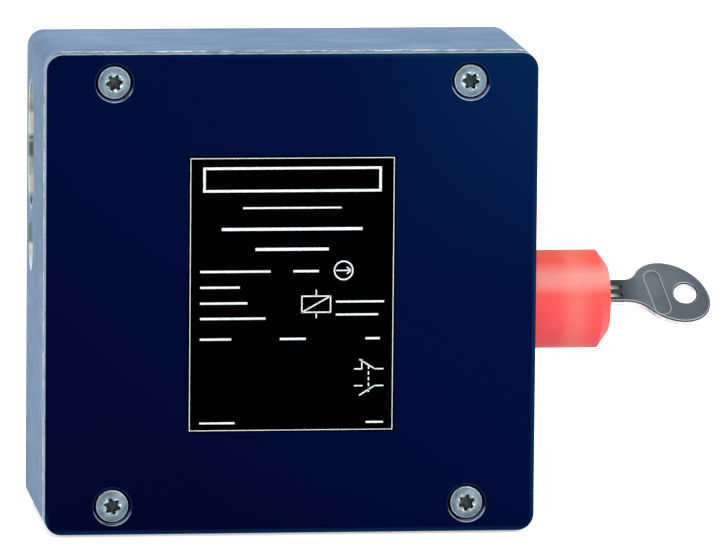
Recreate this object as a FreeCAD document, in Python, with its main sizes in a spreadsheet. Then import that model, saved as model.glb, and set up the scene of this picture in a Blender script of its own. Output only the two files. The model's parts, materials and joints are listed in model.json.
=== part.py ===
"""Tongue interlock switch: a die-cast case with a cam rotor for the guard's tongue, a solenoid lock,
two switches and a key release. Millimetres. X runs to the lock, Y to the rear, Z up.
The origin is the centre of the rear mounting face."""
import FreeCAD, Part
import Sketcher
import math
import os
import re

SIZES = {
    # case and cover
    "case_width": 102.0,
    "case_height": 100.0,
    "case_depth": 46.0,  # cover included
    "case_wall": 4.0,
    "back_wall": 3.5,
    "corner_radius": 3.5,
    "back_edge_radius": 0.8,
    "cover_thickness": 5.0,
    "cover_web": 3.2,
    "cover_edge": 0.5,
    "gasket_width": 1.8,
    "gasket_height": 1.4,
    "label_width": 43.0,
    "label_height": 57.5,
    "label_thickness": 0.3,
    # cover screws
    "cover_screw_inset_x": 14.1,
    "cover_screw_inset_z": 5.95,
    "cover_screw_radius": 2.0,
    "cover_screw_length": 14.0,
    "cover_head_radius": 3.3,
    "cover_head_height": 2.0,
    "cover_head_crown": 0.5,
    "cover_head_sink": 0.2,
    "small_head_crown": 0.3,
    "recess_core_radius": 1.25,
    "recess_lobe_radius": 0.42,
    "recess_lobe_reach": 1.35,
    "recess_depth": 1.3,
    "counterbore_radius": 3.95,
    "cover_boss_radius": 4.2,
    "cover_boss_depth": 13.3,
    # openings in the case
    "mount_inset": 6.5,
    "mount_hole_radius": 2.1,
    "mount_hole_depth": 10.0,
    "mount_boss_radius": 4.2,
    "entry_radius": 9.25,
    "entry_pitch": 24.0,
    "entry_centre_x": 10.0,
    "entry_boss_radius": 12.5,
    "entry_boss_height": 3.0,
    "slot_height": 28.0,
    "slot_width": 13.0,
    "slot_drop": 23.0,
    "slot_y": -10.5,
    "guide_wall": 1.2,
    "guide_gap": 0.9,
    "guide_sink": 0.1,
    # inner plate
    "plate_thickness": 1.5,
    "plate_screw_radius": 1.4,
    "plate_screw_length": 4.0,
    "plate_head_height": 1.6,
    "plate_screw_right": 12.0,
    "plate_screw_left": -8.0,
    "plate_screw_inset": 3.2,
    "plate_screw_middle_z": 2.5,
    # rotor and latch
    "rotor_inset": 19.0,
    "rotor_y": -19.6,
    "rotor_radius": 12.3,
    "rotor_disc": 6.0,
    "rotor_height": 19.0,
    "rotor_hub_radius": 4.5,
    "rotor_turn": 45.0,
    "tongue_bar": 4.0,
    "tongue_play": 0.4,
    "axle_radius": 2.5,
    "bracket_sheet": 1.5,
    "bracket_inner_height": 26.6,
    "bracket_margin": 2.3,
    "bracket_screw_offset": 8.0,
    "bracket_screw_inset": 2.4,
    "cam_low_radius": 8.5,
    "switch_travel": 3.0,
    "latch_drop": 21.5,
    "latch_recess_radius": 5.2,
    "latch_recess_depth": 1.2,
    "latch_sleeve_radius": 4.1,
    "latch_bore_radius": 3.1,
    "latch_sleeve_length": 8.8,
    "latch_screw_length": 2.5,
    "latch_hex_across": 3.0,
    "latch_ball_radius": 3.0,
    "latch_ball_inset": 11.0,
    "latch_travel": 1.0,
    "latch_cam_height": 6.0,
    "latch_hub_radius": 4.0,
    "latch_wire_radius": 0.35,
    "latch_spring_pitch": 1.3,
    "clip_thickness": 0.8,
    "clip_width": 1.6,
    # solenoid and bolt
    "bolt_offset": 7.0,
    "solenoid_rise": 38.0,
    "yoke_height": 27.5,
    "yoke_width": 28.0,
    "yoke_depth": 20.0,
    "yoke_sheet": 2.5,
    "bobbin_bore_radius": 5.3,
    "bobbin_wall": 1.0,
    "bobbin_flange": 1.2,
    "winding_radius": 9.2,
    "core_length": 7.0,
    "armature_length": 14.0,
    "bolt_radius": 2.2,
    "bolt_bevel": 0.5,
    "bolt_travel": 4.0,
    "bolt_shoulder_radius": 3.4,
    "bolt_shoulder": 2.2,
    "lock_depth": 5.0,
    "collar_radius": 7.0,
    "arm_sheet": 1.5,
    "arm_width": 4.0,
    "bolt_spring_radius": 2.9,
    "bolt_wire_radius": 0.4,
    "bolt_spring_pitch": 3.2,
    # switches
    "door_switch_offset": 15.0,
    "lock_switch_gap": 0.15,
    "switch_length": 24.0,
    "switch_half_width": 12.0,
    "switch_half_terminals": 18.0,
    "switch_front": 11.4,
    "switch_wall": 2.0,
    "switch_lid": 1.2,
    "plunger_radius": 2.5,
    "carrier_start": 6.5,
    "carrier_length": 4.0,
    "carrier_half_width": 3.0,
    "carrier_stem_length": 3.0,
    "carrier_stem_half": 1.4,
    "switch_spring_radius": 2.3,
    "switch_wire_radius": 0.3,
    "switch_spring_pitch": 2.0,
    "bridge_level": 5.0,
    "contact_width": 4.0,
    "contact_sheet": 0.8,
    "rivet_height": 0.6,
    "rivet_radius": 1.5,
    "contact_reach": 6.5,
    "bridge_half_width": 1.5,
    "bridge_overhang": 2.5,
    "rivet_inset": 1.0,
    "terminal_length": 6.8,
    "terminal_head_radius": 2.4,
    "terminal_head_height": 1.6,
    "terminal_shank_radius": 1.3,
    "terminal_shank_length": 5.0,
    # key lock
    "lock_rise": 7.2,
    "cap_radius": 10.3,
    "cap_length": 18.0,
    "cap_chamfer_length": 2.3,
    "cap_chamfer_depth": 3.2,
    "cap_front_hole_radius": 5.2,
    "barrel_radius": 7.8,
    "barrel_inside": 20.0,
    "barrel_front_gap": 2.7,
    "barrel_collar_radius": 9.3,
    "barrel_collar_height": 2.6,
    "seal_thickness": 0.8,
    "lock_nut_across": 19.0,
    "lock_nut_height": 4.0,
    "plug_radius": 5.0,
    "plug_head_radius": 6.0,
    "plug_head_height": 2.0,
    "plug_tail_radius": 2.0,
    "plug_tail_length": 1.0,
    "release_flange_radius": 5.6,
    "release_flange": 2.0,
    "peg_radius": 1.2,
    "peg_throw": 2.2,
    "peg_length": 5.2,
    "key_thickness": 2.0,
    "key_rise": 1.45,
    "key_blade_width": 5.6,
    "key_blade_length": 24.0,
    "key_neck_radius_upper": 2.8,
    "key_neck_radius_lower": 7.0,
    "key_bow_centre": 13.9,
    "key_bow_rise": 0.9,
    "key_bow_half_length": 8.85,
    "key_bow_half_width": 6.45,
    "key_bow_lean": 38.7,
    "key_bevel": 0.35,
    "key_hole_radius": 2.4,
    "key_hole_centre": 16.7,
    "key_hole_rise": 0.55,
    "key_recess_centre": 10.8,
    "key_recess_rise": 0.7,
    "key_recess_radius": 1.6,
    "key_recess_length": 11.0,
    "key_recess_lean": 13.0,
    "key_recess_depth": 0.35,
    "key_groove_width": 0.9,
    "key_groove_depth": 0.45,
    "key_groove_pitch": 2.0,
    "key_groove_rise": 1.1,
    "key_groove_end": 3.4,
    "key_tilt": 42.0,
    # release lever
    "lever_pivot_x": 2.0,
    "lever_pivot_share": 0.642857,  # of the height between the solenoid and the door switch
    "lever_y": -31.0,
    "lever_sheet": 2.0,
    "lever_half_height": 3.5,
    "lever_tab_gap": 2.4,
    "lever_tab_height": 7.0,
    "lever_slot_play": 0.35,
    "post_radius": 3.0,
    "pivot_radius": 2.0,
    "prong_inner": 4.6,
    "prong_width": 1.8,
    "prong_length": 13.0,
    # terminals in the wiring space
    "coil_block_inset_x": 22.0,
    "coil_block_inset_z": 23.0,
    "coil_block_width": 24.0,
    "coil_block_height": 14.0,
    "coil_block_depth": 13.0,
    "coil_terminal_pitch": 10.0,
    "earth_inset_x": 11.0,
    "earth_inset_z": 20.0,
    "earth_head_radius": 3.5,
    "earth_head_height": 2.2,
    # clearances
    "running_play": 0.06,
    "fit_play": 0.02,
    "moving_gap": 0.3,
    "contact_gap": 0.1,
}

Vector = FreeCAD.Vector
X_AXIS = Vector(1, 0, 0)
Y_AXIS = Vector(0, 1, 0)
Z_AXIS = Vector(0, 0, 1)
doc = FreeCAD.newDocument("tongue_interlock_switch")
parts = []

# Places that follow from the sizes, as names that expressions can use too.
PLACES = {
    "cover_screw_pitch_x": "(case_width - 2 * cover_screw_inset_x)",
    "cover_screw_pitch_z": "(case_height - 2 * cover_screw_inset_z)",
    "mount_pitch_x": "(case_width - 2 * mount_inset)",
    "mount_pitch_z": "(case_height - 2 * mount_inset)",
    "entry_y": "(-case_depth / 2)",
    "slot_z": "(case_height / 2 - slot_drop)",
    "plate_screw_z": "(case_height / 2 - case_wall - plate_screw_inset)",
    "rotor_x": "(rotor_inset - case_width / 2)",
    "bracket_screw_x": "(rotor_x + bracket_screw_offset)",
    "latch_z": "(slot_z - latch_drop)",
    "latch_ball_x": "(latch_ball_inset - case_width / 2)",
    "solenoid_x": "(rotor_x + bolt_offset)",
    "solenoid_y": "(-case_depth / 2)",
    "solenoid_top": "(solenoid_rise - case_height / 2)",
    "switch_plunger_y": "rotor_y",
    "door_switch_x": "(rotor_x + door_switch_offset)",
    "lock_switch_x": "(solenoid_x + yoke_width / 2 + switch_half_terminals + lock_switch_gap)",
    "lock_y": "(-case_depth / 2)",
    "lock_z": "(solenoid_top + lock_rise)",
    "lever_pivot_z": "(solenoid_top + (slot_z - switch_half_terminals - solenoid_top) * lever_pivot_share)",
    "coil_block_x": "(case_width / 2 - coil_block_inset_x)",
    "coil_block_z": "(case_height / 2 - coil_block_inset_z)",
    "earth_x": "(case_width / 2 - earth_inset_x)",
    "earth_z": "(earth_inset_z - case_height / 2)",
}

# Longer places that are put into expressions as they are.
SIDE = "(case_width / 2)"
INNER_SIDE = "(case_width / 2 - case_wall)"
INNER_TOP = "(case_height / 2 - case_wall)"
RIM = "(cover_thickness - case_depth)"
SEAT = "(-back_wall - plate_thickness)"
ARM_LOW = "(slot_z - bracket_inner_height / 2)"
ARM_HIGH = "(slot_z + bracket_inner_height / 2)"
ROTOR_LOW = "(slot_z - rotor_height / 2)"
ROTOR_HIGH = "(slot_z + rotor_height / 2)"
SHOULDER_LOW = "(solenoid_top + moving_gap)"
ARM_SEAT = "(solenoid_top + moving_gap + bolt_shoulder)"
ARM_TOP = "(solenoid_top + moving_gap + bolt_shoulder + arm_sheet)"
BOLT_TOP = "(slot_z - rotor_height / 2 - 2 * moving_gap)"
PRONG_LOW = "(solenoid_top + 2 * moving_gap + bolt_shoulder + arm_sheet + bolt_travel)"
FLANGE_BACK = "(case_width / 2 + seal_thickness - barrel_inside - contact_gap - release_flange)"


def sized(text):
    """An expression with its size and place names turned into references to the sheet."""
    def reference(word):
        """What stands for one word of the expression."""
        if word[0] in PLACES:
            return sized(PLACES[word[0]])
        return "Sizes." + word[0] if word[0] in SIZES else word[0]
    return re.sub(r"\b[a-z]\w*\b", reference, text)


def value(text):
    """The number that an expression of size names gives."""
    return float(sheet.evalExpression(sized(text)))


def make_sheet():
    """The sheet that holds every driving size."""
    table = doc.addObject("Spreadsheet::Sheet", "Sizes")
    for row, (name, number) in enumerate(SIZES.items(), start=1):
        table.set(f"A{row}", name)
        table.set(f"B{row}", str(number))
        table.setAlias(f"B{row}", name)
    doc.recompute()
    return table


sheet = make_sheet()


# ---- helpers: bodies, sketches and features whose sizes follow the sheet ----


def place(thing, x="0", y="0", z="0"):
    """Bind an object's position to the sheet."""
    for axis, text in (("x", x), ("y", y), ("z", z)):
        if text != "0":
            thing.setExpression(f"Placement.Base.{axis}", sized(text))


def new_body(label, x="0", y="0", z="0", turn=None):
    """An empty body with its own position and, where it is turned, a rotation."""
    body = doc.addObject("PartDesign::Body", label)
    body.Label = label
    if turn:
        body.Placement = FreeCAD.Placement(Vector(), turn)
    place(body, x, y, z)
    parts.append(body)
    return body


def new_sketch(body, plane, level="0"):
    """A sketch parallel to one of the body's own planes, at a level along +Z, -Y or +X."""
    sketch = body.newObject("Sketcher::SketchObject", body.Name + "_sketch")
    base = next(face for face in body.Origin.OriginFeatures if face.Role == plane)
    sketch.AttachmentSupport = [(base, "")]
    sketch.MapMode = "FlatFace"
    if level != "0":
        sketch.setExpression("AttachmentOffset.Base.z", sized(level))
    return sketch


def hold(sketch, kind, geometry, point, text):
    """Tie one point's distance from the sketch's origin to an expression."""
    if text == "0":
        axis = -2 if kind == "DistanceX" else -1
        sketch.addConstraint(Sketcher.Constraint("PointOnObject", geometry, point, axis))
        return
    number = sketch.addConstraint(Sketcher.Constraint(kind, -1, 1, geometry, point, value(text)))
    sketch.setExpression(f"Constraints[{number}]", sized(text))


def outline(sketch, corners):
    """A closed outline of straight edges through corners given as expressions."""
    first = sketch.GeometryCount
    count = len(corners)
    spots = [Vector(value(x), value(y), 0) for x, y in corners]
    for number in range(count):
        sketch.addGeometry(Part.LineSegment(spots[number], spots[(number + 1) % count]))
    for number in range(count):
        following = first + (number + 1) % count
        sketch.addConstraint(Sketcher.Constraint("Coincident", first + number, 2, following, 1))
    for number, (x, y) in enumerate(corners):
        hold(sketch, "DistanceX", first + number, 1, x)
        hold(sketch, "DistanceY", first + number, 1, y)


def rectangle(sketch, x_low, x_high, y_low, y_high):
    """An upright rectangle between two pairs of expressions."""
    outline(sketch, [(x_low, y_low), (x_high, y_low), (x_high, y_high), (x_low, y_high)])


def circle(sketch, radius, x="0", y="0"):
    """A circle with its centre and radius given as expressions."""
    number = sketch.addGeometry(Part.Circle(Vector(value(x), value(y), 0), Vector(0, 0, 1), value(radius)))
    hold(sketch, "DistanceX", number, 3, x)
    hold(sketch, "DistanceY", number, 3, y)
    row = sketch.addConstraint(Sketcher.Constraint("Radius", number, value(radius)))
    sketch.setExpression(f"Constraints[{row}]", sized(radius))


def obround(sketch, x_low, x_high, y, radius):
    """A slot shape lying along the sketch's x, between the centres of its two round ends."""
    left, right, level, reach = value(x_low), value(x_high), value(y), value(radius)
    first = sketch.GeometryCount
    quarter = math.pi / 2
    ends = ((right, -quarter, quarter), (left, quarter, 3 * quarter))
    for centre, start, stop in ends:
        ring = Part.Circle(Vector(centre, level, 0), Vector(0, 0, 1), reach)
        sketch.addGeometry(Part.ArcOfCircle(ring, start, stop))
    sketch.addGeometry(Part.LineSegment(Vector(right, level + reach, 0), Vector(left, level + reach, 0)))
    sketch.addGeometry(Part.LineSegment(Vector(left, level - reach, 0), Vector(right, level - reach, 0)))
    for arc, arc_end, line, line_end in ((0, 2, 2, 1), (1, 1, 2, 2), (1, 2, 3, 1), (0, 1, 3, 2)):
        joint = Sketcher.Constraint("Tangent", first + arc, arc_end, first + line, line_end)
        sketch.addConstraint(joint)
    hold(sketch, "DistanceX", first, 3, x_high)
    hold(sketch, "DistanceY", first, 3, y)
    hold(sketch, "DistanceX", first + 1, 3, x_low)
    hold(sketch, "DistanceY", first + 1, 3, y)
    row = sketch.addConstraint(Sketcher.Constraint("Radius", first, reach))
    sketch.setExpression(f"Constraints[{row}]", sized(radius))


def extrude(body, kind, sketch, length, against=False):
    """A Pad or a Pocket of a sketch; against turns it the other way."""
    feature = body.newObject("PartDesign::" + kind, body.Name + "_" + kind.lower())
    feature.Profile = sketch
    feature.Reversed = against
    feature.setExpression("Length", sized(length))
    sketch.Visibility = False
    return feature


def block(body, x, y, z, cut=False):
    """A rectangular pad, or pocket, between pairs of expressions along the body's axes."""
    sketch = new_sketch(body, "XY_Plane", z[0])
    rectangle(sketch, x[0], x[1], y[0], y[1])
    return extrude(body, "Pocket" if cut else "Pad", sketch, f"({z[1]}) - ({z[0]})", against=cut)


def turned(body, corners, plane="XZ_Plane", cut=False):
    """A Revolution, or Groove, about the body's Z axis, or about X for a sketch of (x, radius)."""
    sketch = new_sketch(body, plane)
    outline(sketch, corners)
    kind = "Groove" if cut else "Revolution"
    feature = body.newObject("PartDesign::" + kind, body.Name + "_" + kind.lower())
    feature.Profile = sketch
    feature.ReferenceAxis = (sketch, ["H_Axis"])
    feature.Angle = 360.0
    sketch.Visibility = False
    return feature


def drill(body, plane, level, radius, depth, spots, against=False):
    """Round blind pockets of one depth at several places."""
    sketch = new_sketch(body, plane, level)
    for x, y in spots:
        circle(sketch, radius, x, y)
    return extrude(body, "Pocket", sketch, depth, against)


def studs(body, plane, level, radius, height, spots, against=False):
    """Round pads of one height at several places."""
    sketch = new_sketch(body, plane, level)
    for x, y in spots:
        circle(sketch, radius, x, y)
    return extrude(body, "Pad", sketch, height, against)


def round_edges(body, radius, wanted, kind="Fillet"):
    """A Fillet or Chamfer on every edge of the body's last shape that passes the test."""
    doc.recompute()
    base = body.Tip
    names = [f"Edge{n}" for n, edge in enumerate(base.Shape.Edges, start=1) if wanted(edge)]
    feature = body.newObject("PartDesign::" + kind, body.Name + "_" + kind.lower())
    feature.Base = (base, names)
    feature.setExpression("Radius" if kind == "Fillet" else "Size", sized(radius))
    return feature


def near(first, second, slack=0.01):
    """Whether two lengths are the same."""
    return abs(first - second) < slack


def runs_along(edge, axis):
    """Whether an edge is straight and parallel to an axis."""
    span = edge.Vertexes[-1].Point - edge.Vertexes[0].Point
    return near(edge.Length, abs(span.dot(axis)), 0.0001)


def lies_at_depth(edge, level):
    """Whether the whole edge lies in the plane y = level."""
    return near(edge.BoundBox.YMin, level) and near(edge.BoundBox.YMax, level)


def repeated(label, template, spots, turns=()):
    """Copies of one piece as separate solids of one node, each turned about Y where turns are given."""
    parts.remove(template)
    copies = []
    for number, (x, y, z) in enumerate(spots):
        copy = doc.addObject("App::Link", label + "_copy")
        copy.LinkedObject = template
        copy.LinkTransform = True
        if turns:
            copy.Placement = FreeCAD.Placement(Vector(), FreeCAD.Rotation(Y_AXIS, turns[number]))
        place(copy, x, y, z)
        copies.append(copy)
    group = doc.addObject("Part::Compound", label)
    group.Label = label
    group.Links = copies
    parts.append(group)


def four_corners(pitch_x, pitch_z):
    """The four (x, z) spots of a rectangle about the middle of the case."""
    return [(f"{sx}{pitch_x} / 2", f"{sz}{pitch_z} / 2") for sx in ("-", "") for sz in ("-", "")]


COVER_SPOTS = four_corners("cover_screw_pitch_x", "cover_screw_pitch_z")
COVER_TURNS = (14, 52, 37, 5)  # where each cover screw happens to stop, in degrees
MOUNT_SPOTS = four_corners("mount_pitch_x", "mount_pitch_z")
ENTRY_SPOTS = ("(entry_centre_x - entry_pitch / 2)", "(entry_centre_x + entry_pitch / 2)")
PLATE_SPOTS = [("plate_screw_right", "plate_screw_z"), ("plate_screw_right", "-plate_screw_z"),
               ("plate_screw_left", "plate_screw_middle_z")]


def outer_corner(edge):
    """Whether an edge is one of the four long corners of the case or cover."""
    spot = edge.CenterOfMass
    at_side = near(abs(spot.x), value(SIDE))
    return runs_along(edge, Y_AXIS) and at_side and near(abs(spot.z), value("case_height") / 2)


def make_case():
    """Die-cast tub, open at the front."""
    body = new_body("case")
    sketch = new_sketch(body, "XZ_Plane")
    rectangle(sketch, "-" + SIDE, SIDE, "-case_height / 2", "case_height / 2")
    extrude(body, "Pad", sketch, "case_depth - cover_thickness")
    round_edges(body, "corner_radius", outer_corner)
    round_edges(body, "back_edge_radius", lambda edge: lies_at_depth(edge, 0.0))
    hollow = new_sketch(body, "XZ_Plane", "back_wall")
    rectangle(hollow, "-" + INNER_SIDE, INNER_SIDE, "-" + INNER_TOP, INNER_TOP)
    extrude(body, "Pocket", hollow, "case_depth", against=True)
    boss_foot = f"-{RIM} - cover_boss_depth"
    studs(body, "XZ_Plane", boss_foot, "cover_boss_radius", "cover_boss_depth", COVER_SPOTS)
    studs(body, "XZ_Plane", "back_wall / 2", "mount_boss_radius", "mount_hole_depth", MOUNT_SPOTS)
    rings = [(x, "entry_y") for x in ENTRY_SPOTS]
    ring_height = "case_wall / 2 + entry_boss_height"
    studs(body, "XY_Plane", "case_wall / 2 - case_height / 2", "entry_boss_radius", ring_height, rings)
    entry_length = "case_wall + entry_boss_height + 2"
    drill(body, "XY_Plane", "-case_height / 2 - 1", "entry_radius", entry_length, rings, True)
    drill(body, "XZ_Plane", "0", "mount_hole_radius", "mount_hole_depth", MOUNT_SPOTS, True)
    screw_depth = "cover_screw_length - cover_web + 2"
    drill(body, "XZ_Plane", f"-{RIM}", "cover_screw_radius + fit_play", screw_depth, COVER_SPOTS)
    drill(body, "XZ_Plane", "back_wall", "plate_screw_radius + fit_play",
          "plate_screw_length - plate_thickness + contact_gap", PLATE_SPOTS + [("earth_x", "earth_z")])
    slot = new_sketch(body, "YZ_Plane", "-" + SIDE + " - 1")
    upright_obround(slot, "slot_y", "slot_z", "slot_height", "slot_width / 2")
    extrude(body, "Pocket", slot, "case_wall + 2", against=True)
    latch = [("slot_y", "latch_z")]
    lock = [("lock_y", "lock_z")]
    drill(body, "YZ_Plane", f"-{SIDE} - 1", "latch_recess_radius", "latch_recess_depth + 1", latch, True)
    drill(body, "YZ_Plane", "-" + SIDE, "latch_sleeve_radius + fit_play", "case_wall + 1", latch, True)
    drill(body, "YZ_Plane", SIDE + " + 1", "barrel_radius + fit_play", "case_wall + 2", lock)
    groove = new_sketch(body, "XZ_Plane", f"-{RIM}")
    gasket_loop(groove, "0")
    extrude(body, "Pocket", groove, "gasket_height")


def upright_obround(sketch, x, y, height, radius):
    """A slot shape standing along the sketch's y about a middle point."""
    middle, centre, reach = value(x), value(y), value(radius)
    half = value(height) / 2 - reach
    first = sketch.GeometryCount
    for level, start, stop in ((centre + half, 0, math.pi), (centre - half, math.pi, 2 * math.pi)):
        ring = Part.Circle(Vector(middle, level, 0), Vector(0, 0, 1), reach)
        sketch.addGeometry(Part.ArcOfCircle(ring, start, stop))
    for side, low, high in ((-1, 1, -1), (1, -1, 1)):
        start = Vector(middle + side * reach, centre + low * half, 0)
        stop = Vector(middle + side * reach, centre + high * half, 0)
        sketch.addGeometry(Part.LineSegment(start, stop))
    for arc, arc_end, line, line_end in ((0, 2, 2, 1), (1, 1, 2, 2), (1, 2, 3, 1), (0, 1, 3, 2)):
        joint = Sketcher.Constraint("Tangent", first + arc, arc_end, first + line, line_end)
        sketch.addConstraint(joint)
    for arc, sign in ((0, "+"), (1, "-")):
        hold(sketch, "DistanceX", first + arc, 3, x)
        hold(sketch, "DistanceY", first + arc, 3, f"({y}) {sign} (({height}) / 2 - ({radius}))")
    row = sketch.addConstraint(Sketcher.Constraint("Radius", first, reach))
    sketch.setExpression(f"Constraints[{row}]", sized(radius))


def gasket_loop(sketch, play):
    """The two rectangles of the gasket, along the middle of the case wall."""
    for sign in ("+", "-"):
        x = f"(case_width / 2 - case_wall / 2 {sign} (gasket_width / 2 - {play}))"
        z = f"(case_height / 2 - case_wall / 2 {sign} (gasket_width / 2 - {play}))"
        rectangle(sketch, "-" + x, x, "-" + z, z)


def make_cover():
    """Shallow die-cast lid with four counterbores."""
    body = new_body("cover")
    sketch = new_sketch(body, "XZ_Plane", f"-{RIM}")
    rectangle(sketch, "-" + SIDE, SIDE, "-case_height / 2", "case_height / 2")
    extrude(body, "Pad", sketch, "cover_thickness")
    round_edges(body, "corner_radius", outer_corner)
    round_edges(body, "cover_edge", lambda edge: lies_at_depth(edge, -value("case_depth")))
    hollow = new_sketch(body, "XZ_Plane", f"-{RIM}")
    room_x = "(cover_screw_pitch_x / 2 - cover_boss_radius - 1)"
    rectangle(hollow, "-" + room_x, room_x, "-" + INNER_TOP, INNER_TOP)
    extrude(body, "Pocket", hollow, "cover_thickness - cover_web", against=True)
    drill(body, "XZ_Plane", "case_depth", "counterbore_radius", "cover_head_height + cover_head_sink",
          COVER_SPOTS)
    drill(body, "XZ_Plane", "case_depth", "cover_screw_radius + cover_head_sink", "cover_thickness + 1",
          COVER_SPOTS)


def make_gasket():
    """Flat seal in the groove of the case rim."""
    body = new_body("cover_gasket")
    sketch = new_sketch(body, "XZ_Plane", f"-{RIM} - gasket_height")
    gasket_loop(sketch, "contact_gap")
    extrude(body, "Pad", sketch, "gasket_height")


def make_screw(label, head_radius, head_height, shank_radius, shank_length, crown="small_head_crown",
               lobed=False):
    """A pan-head screw with a cross recess, or a recess of six lobes.
    Its head sits on the origin and its shank runs along +Y."""
    body = new_body(label, turn=FreeCAD.Rotation(Z_AXIS, 90))
    turned(body, [("0", "0"), (shank_length, "0"), (shank_length, shank_radius), ("0", shank_radius),
                  ("0", head_radius), (f"-({head_height}) + ({crown})", head_radius),
                  (f"-({head_height})", f"({head_radius}) - 2 * ({crown})"), (f"-({head_height})", "0")])
    if lobed:
        turns = [math.radians(60 * number) for number in range(6)]
        lobes = [(f"{math.cos(turn):.6f} * recess_lobe_reach", f"{math.sin(turn):.6f} * recess_lobe_reach")
                 for turn in turns]
        middle = [("0", "0")]
        drill(body, "YZ_Plane", f"-({head_height})", "recess_core_radius", "recess_depth", middle, True)
        drill(body, "YZ_Plane", f"-({head_height})", "recess_lobe_radius", "recess_depth", lobes, True)
        return body
    sketch = new_sketch(body, "YZ_Plane", f"-({head_height})")
    arm = f"({head_radius}) * 0.5"
    half = f"({head_radius}) * 0.14"
    outline(sketch, [("-" + arm, "-" + half), ("-" + half, "-" + half), ("-" + half, "-" + arm),
                     (half, "-" + arm), (half, "-" + half), (arm, "-" + half), (arm, half), (half, half),
                     (half, arm), ("-" + half, arm), ("-" + half, half), ("-" + arm, half)])
    extrude(body, "Pocket", sketch, f"({head_height}) * 0.7", against=True)
    return body


def make_cover_screws():
    """The four screws of the cover, one node."""
    screw = make_screw("cover_screw", "cover_head_radius", "cover_head_height", "cover_screw_radius",
                       "cover_screw_length", crown="cover_head_crown", lobed=True)
    level = "cover_head_height + cover_head_sink - case_depth"
    repeated("cover_screws", screw, [(x, level, z) for x, z in COVER_SPOTS], COVER_TURNS)


def make_label():
    """Thin plate in the middle of the cover."""
    body = new_body("label_plate")
    sketch = new_sketch(body, "XZ_Plane", "case_depth")
    rectangle(sketch, "-label_width / 2", "label_width / 2", "-label_height / 2", "label_height / 2")
    extrude(body, "Pad", sketch, "label_thickness")


def make_tongue_guides():
    """Two hardened half-shells that line the upper and lower half of the tongue slot."""
    for label, sign in (("tongue_guide_upper", "+"), ("tongue_guide_lower", "-")):
        body = new_body(label)
        sketch = new_sketch(body, "YZ_Plane", "guide_sink - case_width / 2")
        for inset in ("fit_play", "guide_wall"):
            upright_obround(sketch, "slot_y", "slot_z", f"slot_height - 2 * {inset}",
                            f"slot_width / 2 - {inset}")
        extrude(body, "Pad", sketch, "case_wall - guide_sink")
        far = f"slot_z - ({sign}1) * (slot_height)"
        edge = f"slot_z + ({sign}1) * guide_gap / 2"
        low, high = (far, edge) if sign == "+" else (edge, far)
        block(body, ("-" + SIDE, "-" + SIDE + " + case_wall + 3"),
              ("slot_y - slot_width", "slot_y + slot_width"), (low, high), cut=True)


def make_plate():
    """Sheet-steel plate on the rear wall that the inner groups are screwed to."""
    body = new_body("component_plate")
    gap = "moving_gap"
    reach_x = f"(case_width / 2 - case_wall - {gap})"
    reach_z = f"(case_height / 2 - case_wall - {gap})"
    sketch = new_sketch(body, "XZ_Plane", "back_wall")
    notch_x = f"(cover_screw_pitch_x / 2 - cover_boss_radius - {gap})"
    notch_z = "(mount_pitch_z / 2 - mount_boss_radius - cover_boss_radius / 2)"
    outline(sketch, [("-" + notch_x, "-" + reach_z), (notch_x, "-" + reach_z), (notch_x, "-" + notch_z),
                     (reach_x, "-" + notch_z), (reach_x, notch_z), (notch_x, notch_z), (notch_x, reach_z),
                     ("-" + notch_x, reach_z), ("-" + notch_x, notch_z), ("-" + reach_x, notch_z),
                     ("-" + reach_x, "-" + notch_z), ("-" + notch_x, "-" + notch_z)])
    extrude(body, "Pad", sketch, "plate_thickness")
    drill(body, "XZ_Plane", "back_wall + plate_thickness", "plate_screw_radius + fit_play",
          "plate_thickness + 1", PLATE_SPOTS + [("earth_x", "earth_z")])
    screw = make_screw("plate_screw", "plate_screw_radius * 2", "plate_head_height", "plate_screw_radius",
                       "plate_screw_length")
    repeated("plate_screws", screw, [(x, SEAT, z) for x, z in PLATE_SPOTS])
    earth = make_screw("earth_screw", "earth_head_radius", "earth_head_height", "plate_screw_radius",
                       "plate_screw_length")
    place(earth, "earth_x", SEAT, "earth_z")


def conjugate_cam(start, step, turn, roller):
    """The face between a cam's axis and the stretch of its rim that a round follower runs on.
    The follower's centre moves by step while the cam turns by turn degrees."""
    count = 9
    path = []
    for number in range(-1, count + 1):
        share = number / (count - 1)
        path.append(FreeCAD.Rotation(Z_AXIS, -turn * share).multVec(start + step * share))
    rim = []
    for number in range(1, len(path) - 1):
        tangent = path[number + 1] - path[number - 1]
        inward = tangent.cross(Z_AXIS).normalize()
        if inward.dot(path[number]) > 0:
            inward = -inward
        rim.append(path[number] + inward * roller)
    curve = Part.BSplineCurve()
    curve.interpolate(rim)
    sides = [Part.makeLine(Vector(), rim[0]), curve.toShape(), Part.makeLine(rim[-1], Vector())]
    return Part.Face(Part.Wire(sides))


def raise_face(face, low, height):
    """A face of the XY plane made solid from a level upwards."""
    solid = face.extrude(Vector(0, 0, height))
    solid.translate(Vector(0, 0, low))
    return solid


def drum(radius, low, high, x=0.0, y=0.0):
    """An upright cylinder between two levels."""
    return Part.makeCylinder(radius, high - low, Vector(x, y, low))


def add_shape(label, shape, x="0", y="0", z="0"):
    """A finished shape as a sub-part of its own."""
    feature = doc.addObject("Part::Feature", label)
    feature.Label = label
    feature.Shape = shape
    place(feature, x, y, z)
    parts.append(feature)


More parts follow.
